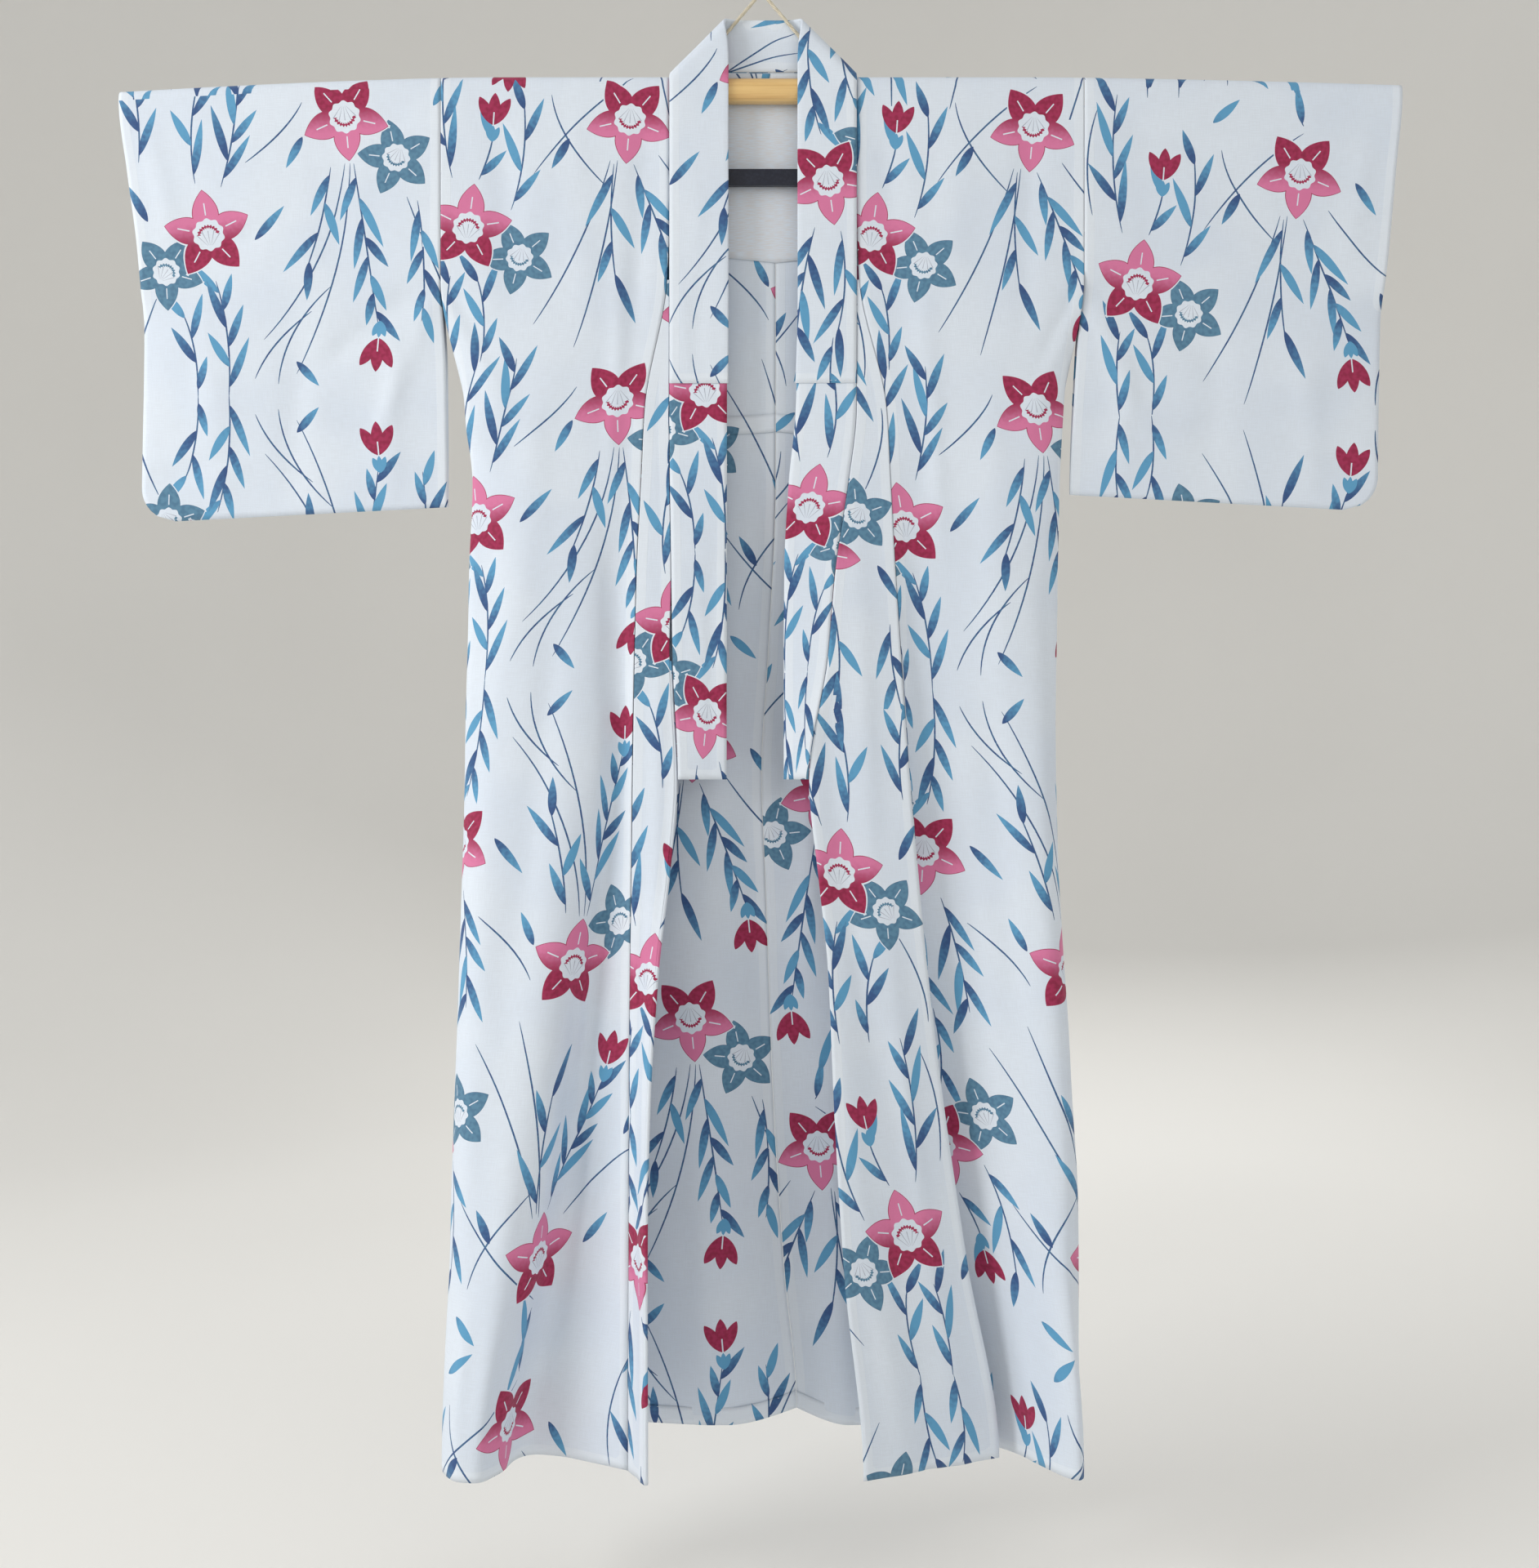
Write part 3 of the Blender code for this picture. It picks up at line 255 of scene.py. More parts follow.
class Table:
    """Rows of named columns, read at any height between them."""

    def __init__(self, columns, rows):
        self.heights = [row[0] for row in rows]
        self.values = {}
        for index, name in enumerate(columns.split()):
            self.values[name] = [row[index] for row in rows]

    def slope(self, name, index):
        heights = self.heights
        values = self.values[name]
        if index == 0 or index == len(heights) - 1:
            return 0.0
        before = (values[index] - values[index - 1]) / (heights[index] - heights[index - 1])
        after = (values[index + 1] - values[index]) / (heights[index + 1] - heights[index])
        if before * after <= 0.0:
            return 0.0
        return 2.0 * before * after / (before + after)

    def at(self, name, height):
        heights = self.heights
        if height >= heights[0]:
            return self.values[name][0]
        if height <= heights[-1]:
            return self.values[name][-1]
        index = 0
        while heights[index + 1] > height:
            index += 1
        run = heights[index + 1] - heights[index]
        t = (height - heights[index]) / run
        start = self.values[name][index]
        end = self.values[name][index + 1]
        rise_start = self.slope(name, index) * run
        rise_end = self.slope(name, index + 1) * run
        return ((2 * t ** 3 - 3 * t ** 2 + 1) * start + (t ** 3 - 2 * t ** 2 + t) * rise_start
                + (3 * t ** 2 - 2 * t ** 3) * end + (t ** 3 - t ** 2) * rise_end)

    def point(self, name, height):
        return (self.at(name + "_x", height) * MM, self.at(name + "_y", height) * MM)


# Front panels, from the side seam round the outer corner to the overlap's seam
FRONT_LINES = {
    "right": ("side", "edge", "corner", "ridge", "valley", "seam"),
    "left": ("side", "edge", "corner", "valley", "under", "turn", "seam"),
}
FRONT = {
    "right": Table(
        "z side_x side_y edge_x edge_y corner_x corner_y ridge_x ridge_y valley_x valley_y seam_x seam_y", [
            (-110, -361.0, -10.3, -340, -10.3, -280, -10.3, -215, -10.3, -160, -10.3, -103.8, -10.3),
            (-255, -361.0, -10.3, -340, -10.3, -280, -11.5, -215, -11.0, -160, -10.8, -103.8, -10.8),
            (-330, -361.0, -10.3, -337, -11.5, -277, -14.0, -215, -13.0, -160, -12.0, -106.5, -11.8),
            (-475, -333.5, 1.0, -335, -8.0, -300, -16.0, -205, -17.0, -163, -13.5, -131.5, -13.8),
            (-560, -324.5, 2.0, -326.5, -9.0, -297, -20.0, -200, -21.0, -165, -14.5, -135.5, -16.5),
            (-660, -328.0, 2.0, -331, -12.0, -300, -25.0, -196, -28.0, -164, -15.0, -140.0, -20.5),
            (-842, -330.0, 3.0, -334, -20.0, -308, -38.0, -192, -46.0, -163, -17.0, -143.0, -31.0),
            (-1000, -332.0, 4.0, -336, -28.0, -312, -50.0, -207, -63.0, -178, -18.0, -144.0, -40.0),
            (-1200, -337.0, 4.0, -341, -40.0, -318, -66.0, -226, -84.0, -204, -21.0, -145.0, -53.0),
            (-1420, -341.0, 4.0, -346, -56.0, -322, -88.0, -254, -108.0, -232, -24.0, -144.0, -71.0),
            (-1636, -343.0, 4.0, -349, -80.0, -330, -112.0, -284, -126.0, -265, -28.0, -143.0, -89.0),
        ]),
    "left": Table(
        "z side_x side_y edge_x edge_y corner_x corner_y valley_x valley_y under_x under_y "
        "turn_x turn_y seam_x seam_y", [
            (-110, 363.0, -10.3, 345, -10.3, 300, -10.3, 255, -10.3, 205, -10.3, 155, -10.3, 107.3, -10.3),
            (-255, 363.0, -10.3, 345, -10.3, 300, -11.5, 255, -11.0, 205, -10.8, 155, -10.8, 107.3, -10.8),
            (-330, 363.0, -10.3, 343, -11.5, 298, -14.0, 250, -13.0, 200, -12.0, 155, -11.8, 110.0, -11.8),
            (-475, 339.5, 1.0, 341, -8.0, 308, -15.0, 230, -15.0, 190, -13.5, 162, -13.5, 140.5, -14.5),
            (-560, 334.5, 2.0, 337, -9.0, 306, -19.0, 222, -15.5, 185, -14.0, 163, -15.0, 145.0, -17.5),
            (-660, 332.5, 2.0, 336, -11.0, 304, -23.0, 214, -15.5, 178, -14.5, 160, -18.5, 150.0, -22.5),
            (-842, 329.5, 3.0, 334, -18.0, 305, -34.0, 206, -17.0, 164, -16.0, 158, -25.0, 161.5, -33.0),
            (-1000, 331.0, 4.0, 335, -26.0, 308, -46.0, 212, -18.5, 160, -17.0, 159, -33.0, 173.5, -43.0),
            (-1200, 338.0, 4.0, 343, -40.0, 317, -64.0, 226, -20.0, 166, -18.0, 166, -37.0, 194.5, -47.5),
            (-1420, 342.0, 4.0, 348, -66.0, 325, -92.0, 246, -20.0, 180, -18.0, 181, -40.0, 226.0, -51.0),
            (-1636, 343.5, 4.0, 349, -100.0, 332, -122.0, 268, -18.0, 196, -18.0, 198, -43.0, 261.0, -55.0),
        ]),
}

# Inner edge of each overlap panel: the collar's seam, then the edge that hangs free
OVERLAP = {
    "right": Table("z free_x free_y lap lap_gap", [
        (-330, -104.1, -11.8, 20, 6),
        (-475, -104.1, -13.5, 20, 6),
        (-660, -101.4, -22.0, 20, 6),
        (-760, -99.5, -28.0, 30, 6),
        (-895, -93.0, -40.0, 80, 7),
        (-1000, -101.0, -51.0, 95, 8),
        (-1100, -112.5, -67.0, 105, 9),
        (-1250, -121.5, -89.0, 112, 11),
        (-1370, -123.5, -104.0, 116, 13),
        (-1636, -121.5, -127.0, 120, 15),
    ]),
    "left": Table("z free_x free_y", [
        (-330, 107.6, -11.8),
        (-475, 106.9, -16.0),
        (-560, 97.4, -20.5),
        (-660, 82.4, -29.0),
        (-760, 73.3, -37.5),
        (-895, 52.6, -49.0),
        (-1000, 62.5, -59.5),
        (-1100, 72.5, -69.5),
        (-1250, 78.5, -86.0),
        (-1420, 88.5, -101.0),
        (-1636, 108.5, -115.0),
    ]),
}

# Depth of the back panels at lines from the side seam to the centre seam
BACK_LINES = {
    "right": (("side", 0.0), ("outer", 0.15), ("hollow", 0.45), ("ridge", 0.78), ("centre", 1.0)),
    "left": (("side", 0.0), ("outer", 0.15), ("hollow", 0.5), ("ridge", 0.8), ("centre", 1.0)),
}
BACK = {
    "right": Table("z outer hollow ridge centre", [
        (-110, 12.2, 12.2, 12.2, 12.2),
        (-330, 12.2, 12.2, 12.2, 12.2),
        (-475, 9.5, 13.0, 13.0, 13.5),
        (-660, 9.5, 14.0, 13.0, 14.5),
        (-1000, 10.0, 16.0, 13.0, 17.0),
        (-1300, 11.0, 18.0, 11.0, 20.0),
        (-1636, 12.0, 21.0, 9.5, 25.0),
    ]),
    "left": Table("z outer hollow ridge centre", [
        (-110, 12.2, 12.2, 12.2, 12.2),
        (-330, 12.2, 12.2, 12.2, 12.2),
        (-475, 9.5, 13.0, 13.0, 13.5),
        (-660, 9.5, 14.0, 13.5, 14.5),
        (-1000, 10.0, 15.0, 14.0, 17.0),
        (-1300, 11.0, 17.0, 13.0, 20.0),
        (-1636, 12.0, 20.0, 10.0, 25.0),
    ]),
}
CENTRE_SEAM = Table("z x", [
    (-95, 10), (-300, 16), (-560, 16), (-765, 7), (-895, 0),
    (-1040, 5), (-1270, 13), (-1475, 26), (-1636, 40),
])

# Collar below the shoulder: its seam edge and its free edge
COLLAR = {
    "right": Table("z seam_x seam_y free_x free_y", [
        (-116, -103.5, -12.6, -38.5, -12.6),
        (-330, -103.5, -12.9, -38.5, -12.9),
        (-475, -103.5, -14.4, -38.8, -14.0),
        (-660, -100.8, -22.6, -38.8, -19.5),
        (-760, -98.9, -28.6, -38.8, -24.0),
        (-892, -92.4, -40.2, -38.8, -32.0),
    ]),
    "left": Table("z seam_x seam_y free_x free_y", [
        (-116, 107.0, -12.6, 42.0, -12.6),
        (-330, 107.0, -12.9, 42.0, -12.9),
        (-475, 106.3, -16.6, 38.5, -15.0),
        (-560, 96.8, -21.0, 30.5, -17.5),
        (-660, 81.8, -29.5, 25.5, -22.5),
        (-760, 72.7, -38.0, 25.0, -28.0),
        (-892, 52.0, -49.5, 25.0, -38.0),
    ]),
}

# Sleeves: the seam to the body, the cuff edge and the bottom edge
SLEEVE_INNER = {
    "right": Table("z x", [(-110, -361.4), (-330, -361.4), (-440, -356.5), (-599, -355.0)]),
    "left": Table("z x", [(-110, 363.4), (-330, 363.4), (-420, 356.0), (-599, 349.0)]),
}
SLEEVE_CUFF = {
    "right": Table("z x", [(-110, -723.5), (-194, -714.5), (-287, -703.5), (-379, -698.0), (-599, -701.0)]),
    "left": Table("z x", [(-110, 721.5), (-194, 715.0), (-287, 707.5), (-379, 699.5), (-599, 697.0)]),
}

# Soft troughs (-) and ridges (+) in each piece: ends across and down the cloth, half width, height
CREASES = {
    "body_right": [
        (232, -135, 214, -430, 16, -1.4), (150, -128, 166, -390, 22, 1.0), (66, -150, 80, -380, 18, -1.1),
        (200, -300, 206, -640, 12, 1.2), (120, -420, 104, -820, 24, 1.7), (62, -540, 74, -980, 17, -1.8),
        (152, -700, 138, -1180, 18, -2.0), (92, -900, 112, -1420, 20, 2.2),
        (38, -1080, 44, -1700, 15, -2.0), (214, -800, 232, -1320, 12, 1.6),
        (176, -1240, 186, -1700, 15, -2.4), (262, -1000, 280, -1700, 13, 1.8), (6, -335, 66, -430, 9, -1.2),
        (10, -350, 96, -500, 13, 1.0), (4, -470, 60, -520, 10, 0.9), (128, -1450, 150, -1700, 12, 1.8),
        (70, -1380, 62, -1700, 11, -1.6), (240, -560, 252, -900, 10, -1.2), (100, -200, 130, -250, 26, 0.6),
        (180, -470, 240, -520, 16, -0.7), (60, 180, 72, 900, 20, 1.2), (150, 120, 140, 820, 26, -1.2),
        (236, 300, 250, 1100, 20, 1.2), (310, 240, 300, 1000, 18, -1.3), (96, 800, 110, 1500, 22, -1.6),
        (200, 760, 190, 1500, 24, 1.8), (290, 900, 300, 1500, 20, -1.6), (340, 500, 344, 1500, 12, 1.0),
    ],
    "body_left": [
        (226, -132, 208, -420, 18, -1.2), (140, -128, 150, -360, 20, 1.0), (58, -140, 70, -400, 16, -1.2),
        (180, -310, 176, -660, 13, 1.2), (110, -430, 120, -860, 22, 1.6), (54, -560, 62, -1020, 16, -1.8),
        (134, -760, 128, -1250, 15, -1.8), (88, -960, 78, -1480, 20, 2.2), (36, -1120, 30, -1700, 13, -2.0),
        (6, -335, 60, -440, 9, -1.2), (8, -352, 84, -520, 12, 1.0), (102, -1340, 110, -1700, 12, -1.8),
        (60, -1300, 66, -1700, 10, 1.5), (160, -500, 205, -560, 15, -0.8), (90, -210, 140, -240, 24, 0.6),
        (190, -1000, 200, -1700, 12, 1.2), (70, 200, 60, 880, 20, 1.2), (140, 140, 156, 840, 24, -1.2),
        (230, 260, 220, 1050, 22, 1.2), (300, 300, 312, 1040, 16, -1.2), (100, 820, 96, 1500, 22, -1.6),
        (190, 780, 206, 1500, 24, 1.6), (280, 920, 270, 1500, 18, -1.5),
    ],
    "sleeve_right": [
        (20, -150, 190, -176, 15, -1.0), (70, -236, 320, -214, 20, 1.1), (14, -330, 150, -436, 18, -1.4),
        (180, -262, 338, -330, 16, -1.0), (96, -478, 300, -452, 20, 1.2), (52, -380, 60, -580, 16, 1.0),
        (160, -360, 172, -590, 22, -1.1), (262, -400, 250, -590, 18, 1.1), (330, -150, 300, -300, 14, 0.8),
        (8, -345, 80, -520, 11, 1.1), (120, -130, 118, -330, 20, -0.7), (220, -520, 340, -560, 14, -0.9),
    ],
    "sleeve_left": [
        (24, -148, 170, -190, 16, -1.0), (60, -250, 300, -222, 20, 1.0), (12, -328, 160, -420, 17, -1.4),
        (190, -280, 330, -340, 16, -1.0), (90, -470, 290, -440, 20, 1.2), (48, -380, 44, -570, 15, 1.0),
        (150, -350, 140, -580, 22, -1.1), (250, -390, 262, -580, 18, 1.0), (322, -160, 296, -310, 14, 0.8),
        (8, -350, 70, -500, 11, 1.1), (210, -500, 330, -540, 14, -0.9),
    ],
    "overlap_right": [
        (30, -700, 26, -1100, 10, 1.0), (14, -1000, 20, -1700, 9, -1.2), (46, -1200, 40, -1700, 10, 1.2),
    ],
    "overlap_left": [
        (40, -600, 50, -1000, 14, 1.2), (90, -760, 70, -1300, 16, -1.6), (40, -1050, 48, -1700, 13, 1.8),
        (110, -1150, 118, -1700, 14, 1.4), (80, -1350, 86, -1700, 10, -1.4),
    ],
    "collar": [
        (30, -560, 34, -880, 14, 0.5), (14, -300, 18, -520, 10, -0.4), (48, -640, 44, -900, 8, -0.5),
        (20, -180, 46, -200, 12, 0.4),
    ],
    "collar_cover": [
        (24, -200, 40, -330, 14, 0.4), (46, -240, 30, -430, 9, -0.4), (14, -330, 20, -450, 8, 0.3),
    ],
}

# One bolt of cloth repeats two cells of motifs, each mirrored over the line where buds meet
# Flowers and buds: kind, place across and above the mirror line, which way up, turn, size
FLOWERS = {
    "pair": [
        ("crimson", 98, 182, 1, 8, 50), ("blue", 50, 140, 1, -34, 43), ("crimson", 252, 314, -1, -6, 50),
        ("blue", 310, 268, -1, 24, 44), ("bud", 289, 66, -1, 5, 38),
    ],
    "lone": [
        ("crimson", 76, 150, 1, -8, 50), ("blue", 134, 116, -1, 14, 43), ("bud", 104, 266, 1, -4, 36),
        ("crimson", 258, 272, -1, 5, 50), ("bud", 318, 66, -1, -6, 38),
    ],
}
# Sprigs: stem start, bend and tip, pairs of leaves, leaf length at the start and the tip
SPRIGS = {
    "pair": [
        (121, -2, 124, 74, 106, 130, 3, 46, 44), (86, -2, 86, 60, 66, 98, 2, 40, 44),
        (113, 234, 130, 296, 133, 362, 3, 52, 46), (84, 238, 72, 300, 90, 362, 2, 50, 48),
        (262, 262, 278, 160, 289, 76, 4, 56, 30), (236, 258, 230, 200, 206, 136, 2, 48, 44),
        (334, 220, 346, 150, 338, 84, 3, 46, 36), (20, 262, 24, 312, 12, 362, 2, 44, 40),
    ],
    "lone": [
        (92, -2, 100, 60, 84, 98, 2, 44, 42), (56, -2, 48, 56, 56, 96, 2, 46, 42),
        (88, 204, 102, 236, 104, 256, 1, 36, 28), (58, 206, 40, 280, 52, 362, 3, 54, 46),
        (124, 170, 146, 230, 138, 300, 2, 50, 42), (262, 222, 292, 150, 317, 78, 4, 54, 32),
        (240, 222, 232, 150, 244, 80, 2, 52, 44), (262, 326, 252, 344, 258, 362, 1, 46, 46),
    ],
}
# Leaves that lie alone: foot and tip
LONE_LEAVES = {
    "pair": [
        (150, 176, 184, 214), (30, 196, 8, 236), (204, 292, 186, 256), (352, 326, 374, 364),
        (196, 40, 222, 12),
    ],
    "lone": [
        (20, 96, 2, 132), (190, 250, 170, 216), (320, 262, 344, 226), (160, 330, 190, 356),
        (350, 140, 366, 100),
    ],
}
# Long blades of grass: start, bend and end
GRASS = {
    "pair": [
        (252, 262, 240, 150, 160, 64), (258, 262, 256, 140, 196, 26), (322, 224, 350, 150, 376, 96),
        (16, 18, 12, 60, 40, 112), (150, 20, 166, 62, 214, 96), (176, 14, 180, 74, 236, 124),
        (204, 330, 190, 300, 140, 262),
    ],
    "lone": [
        (236, 226, 210, 130, 150, 40), (244, 226, 232, 120, 196, 14), (290, 232, 340, 160, 372, 150),
        (24, 226, 10, 290, 30, 346), (170, 300, 176, 250, 232, 196), (346, 14, 344, 60, 372, 92),
        (150, 210, 200, 280, 262, 318),
    ],
}
# How each piece was cut from the bolt, in stretches along it: where the stretch starts, its
# first cell, the mirror line's height, the shift across, and whether the cell is swapped
CUTS = {
    "body_right": [(-BOLT_END, "pair", -781, -45, False), (SHOULDER, "pair", -146, 165, False),
                   (574, "pair", 1294, 28, False)],
    "body_left": [(-BOLT_END, "pair", -790, -60, True), (SHOULDER, "lone", -41, 165, False),
                  (679, "lone", 1399, 40, False)],
    "sleeve_right": [(-BOLT_END, "pair", -459.5, -15, True)],
    "sleeve_left": [(-BOLT_END, "lone", -482.6, -15, False)],
    "overlap_right": [(-BOLT_END, "lone", -1260, -52, False)],
    "overlap_left": [(-BOLT_END, "lone", -1537, -10, False)],
    "collar": [(-BOLT_END, "pair", -638, -58, False)],
    "collar_cover": [(-BOLT_END, "pair", -400, -150, False), (NECK_MIDDLE, "pair", 70, -66, False)],
}


def along(knots, u):
    """Smooth line through a row of knots: u runs from 0 to the last knot's number."""
    last = len(knots) - 1
    middles = []
    for a, b in zip(knots, knots[1:]):
        middles.append(((a[0] + b[0]) / 2.0, (a[1] + b[1]) / 2.0))
    if u <= 0.5:
        start, end, t = knots[0], middles[0], u / 0.5
        return (start[0] + (end[0] - start[0]) * t, start[1] + (end[1] - start[1]) * t)
    if u >= last - 0.5:
        start, end, t = middles[-1], knots[-1], (u - last + 0.5) / 0.5
        return (start[0] + (end[0] - start[0]) * t, start[1] + (end[1] - start[1]) * t)
    number = int(u + 0.5)
    t = u + 0.5 - number
    before, knot, after = middles[number - 1], knots[number], middles[number]
    weights = ((1 - t) ** 2, 2 * t * (1 - t), t ** 2)
    return tuple(weights[0] * before[k] + weights[1] * knot[k] + weights[2] * after[k] for k in (0, 1))


def eased(value):
    value = max(0.0, min(1.0, value))
    return value * value * (3.0 - 2.0 * value)


def bow(x):
    """How far the shoulder line has dropped at x, towards the ends of the rod."""
    side = "right" if x < 0.0 else "left"
    reach = max(0.0, abs(x) - BOW_START) / BOW_SPAN
    return BOW_DROP[side] * reach ** 1.5


def rounded_box(angle):
    """Unit outline between a circle and a square, which the rod and the fold share."""
    c, s = math.cos(angle), math.sin(angle)
    power = 2.0 / ROD_ROUNDNESS
    return math.copysign(abs(c) ** power, c), math.copysign(abs(s) ** power, s)


def shoulder_fold(x, share):
    """Inner face of the cloth over the rod, from front (0) to back (1)."""
    across, up = rounded_box(math.pi * share)
    return Vector((x, FOLD_MID_Y - FOLD_HALF_DEPTH * across, PANEL_TOP_Z + FOLD_RISE * up - bow(x)))


def panel_z(z, x, hem_z):
    """Real height of a row: the top follows the rod's bow and the foot the hem."""
    top = PANEL_TOP_Z - bow(x)
    share = (z * MM - PANEL_TOP_Z) / (FRONT_HEM_Z * MM - PANEL_TOP_Z)
    return top + (hem_z * MM - top) * share


@lru_cache(maxsize=None)
def front_section(side, z):
    """Knots of one front panel's section at a height in millimetres."""
    return tuple(FRONT[side].point(line, z) for line in FRONT_LINES[side])


@lru_cache(maxsize=None)
def front_row(side, z):
    """Points of a front panel across one row, with their distance from the side seam."""
    knots = front_section(side, z)
    columns = FRONT_CELLS[0]
    row = []
    run = 0.0
    last = None
    for i in range(columns + 1):
        u = i / columns
        x, y = along(knots, u * (len(knots) - 1))
        if last is not None:
            run += math.hypot(x - last[0], y - last[1])
        last = (x, y)
        hem = FRONT_HEM_Z + (HEM_AT_SIDE_Z - FRONT_HEM_Z) * max(0.0, 1.0 - u / HEM_SIDE_SHARE)
        row.append((Vector((x, y, panel_z(z, x, hem))), run))
    return row


def depth_between(knots, u):
    """Depth at u between knots of share and depth, eased so that it is smooth."""
    for (start, depth_start), (end, depth_end) in zip(knots, knots[1:]):
        if u <= end:
            return depth_start + (depth_end - depth_start) * eased((u - start) / (end - start))
    return knots[-1][1]


def back_point(side, z, u):
    """Point of a back panel's inner face, u from the side seam to the centre seam."""
    sign = SIDES[side]
    edge_x, edge_y = FRONT[side].point("side", z)
    share = max(0.0, min(1.0, (edge_y - FRONT_Y) / (0.0 - FRONT_Y)))
    side_y = BACK_Y * (1.0 - share) + (max(edge_y, 0.0) + SEAM) * share
    edge_x += sign * WALL * share
    centre_x = CENTRE_SEAM.at("x", z) * MM + sign * SEAM / 2.0
    x = edge_x + (centre_x - edge_x) * u
    knots = []
    for line, place in BACK_LINES[side]:
        depth = side_y if line == "side" else BACK[side].at(line, z) * MM
        knots.append((place, depth))
    to_centre = max(0.0, 1.0 - (1.0 - u) / HEM_CENTRE_SHARE)
    to_side = max(0.0, 1.0 - u / HEM_SIDE_SHARE)
    hem = BACK_HEM_Z + (HEM_AT_CENTRE_Z - BACK_HEM_Z) * to_centre ** 2
    hem += (HEM_AT_SIDE_Z - BACK_HEM_Z) * to_side
    return Vector((x, depth_between(knots, u), panel_z(z, x, hem)))


def front_depth(side, z, x):
    """Depth of the front at x: the overlap panel, then the front panel beyond its seam."""
    seam_x, seam_y = FRONT[side].point("seam", z)
    free_x, free_y = OVERLAP[side].point("free", z)
    if x > seam_x:
        return seam_y + (free_y - seam_y) * (x - seam_x) / (free_x - seam_x)
    row = [(point.x, point.y) for point, run in reversed(front_row(side, z))]
    for (near_x, near_y), (far_x, far_y) in zip(row, row[1:]):
        if far_x <= x <= near_x:
            return near_y + (far_y - near_y) * (near_x - x) / max(near_x - far_x, 1e-9)
    return row[-1][1]


def sleeve_point(side, face, v, u):
    """Point of a sleeve's inner face; face is -1 for the front layer and 1 for the back."""
    inner_bottom, outer_bottom = SLEEVE_BOTTOM_Z[side]
    nominal_z = TOP_MM + (outer_bottom - TOP_MM) * v
    inner_x = SLEEVE_INNER[side].at("x", nominal_z) * MM
    outer_x = SLEEVE_CUFF[side].at("x", nominal_z) * MM
    above = (1.0 - v) * (PANEL_TOP_Z - outer_bottom * MM)
    if above < SLEEVE_CORNER:
        cut = SLEEVE_CORNER - math.sqrt(SLEEVE_CORNER ** 2 - (SLEEVE_CORNER - above) ** 2)
        outer_x -= SIDES[side] * cut
    x = inner_x + (outer_x - inner_x) * u
    bottom = inner_bottom + (outer_bottom - inner_bottom) * u
    top = PANEL_TOP_Z - bow(x)
    z = top + (bottom * MM - top) * v
    hang = (1.0 - v) ** SLEEVE_FALL
    by_armhole = eased((z - ARMHOLE_END_Z) / ARMHOLE_EASE + 0.5)
    hang += (1.0 - hang) * by_armhole * max(0.0, 1.0 - abs(x - inner_x) / CUFF_PINCH)
    pinch = min(1.0, abs(outer_x - x) / CUFF_PINCH) ** PINCH_POWER
    pinch = 1.0 + (pinch - 1.0) * eased((v - 0.45) / 0.08)
    half_gap = SEWN_HALF_GAP + (FOLD_HALF_DEPTH - SEWN_HALF_GAP) * hang * pinch
    return Vector((x, FOLD_MID_Y + face * half_gap, z))


def strip_width(height):
    """Width of the collar strip, narrower behind the neck."""
    start, end = NARROWING
    return COLLAR_WIDTH + (COLLAR_NECK_WIDTH - COLLAR_WIDTH) * eased((height - start) / (end - start))


def collar_point(side, height, w, lift):
    """Point on the collar band, w from its seam edge, lifted towards the outside."""
    sign = SIDES[side]
    seam_x = COLLAR_SEAM_X[side]
    q = (height - ROLL_START_Z - w) / math.sqrt(2.0)
    if q <= 1e-9:
        x_seam, y_seam = COLLAR[side].point("seam", height / MM)
        x_free, y_free = COLLAR[side].point("free", height / MM)
        run = Vector((x_free - x_seam, y_free - y_seam))
        outward = Vector((run.y, -run.x)).normalized() * -sign
        share = w / COLLAR_WIDTH
        return Vector((x_seam + run.x * share + outward.x * lift,
                       y_seam + run.y * share + outward.y * lift, height))
    t = (height - ROLL_START_Z + w) / math.sqrt(2.0)
    slant = Vector((-sign, 0.0, 1.0)) / math.sqrt(2.0)
    away = Vector((sign, 0.0, 1.0)) / math.sqrt(2.0)
    base = Vector((seam_x, COLLAR_Y, ROLL_START_Z)) + slant * t
    turn = min(q / ROLL_RADIUS, math.pi)
    beyond = max(0.0, q - math.pi * ROLL_RADIUS)
    radius = ROLL_RADIUS + lift
    point = base + away * (radius * math.sin(turn) - beyond)
    point.y += ROLL_RADIUS - radius * math.cos(turn)
    return point


def collar_stations(end_z):
    """Rows along the whole strip, as (side, start height, slant, length from the right end)."""
    reach = (COLLAR_SEAM_X["left"] - COLLAR_SEAM_X["right"]) / 2.0
    roll = math.pi * ROLL_RADIUS * math.sqrt(2.0)
    centre = ROLL_START_Z + reach + roll / 2.0
    rows = []
    count = round((centre - end_z) / STRIP_ROW)
    for k in range(count + 1):
        start = end_z + (centre - end_z) * k / count
        slant = eased((start - ROLL_START_Z + SLANT_RUN) / SLANT_RUN)
        slant *= 1.0 - eased((start - ROLL_START_Z - roll) / (centre - ROLL_START_Z - roll))
        rows.append((start, slant))
    stations = [("right", start, slant, start) for start, slant in rows]
    stations += [("left", start, slant, 2.0 * centre - start) for start, slant in reversed(rows[:-1])]
    return stations


def grid(bm, columns, rows):
    """New grid's vertices, each with its column and row."""
    made = bmesh.ops.create_grid(bm, x_segments=columns, y_segments=rows, size=1.0)["verts"]
    places = [((vert.co.x + 1.0) / 2.0 * columns, (vert.co.y + 1.0) / 2.0 * rows) for vert in made]
    return [(vert, round(i), round(j)) for vert, (i, j) in zip(made, places)]


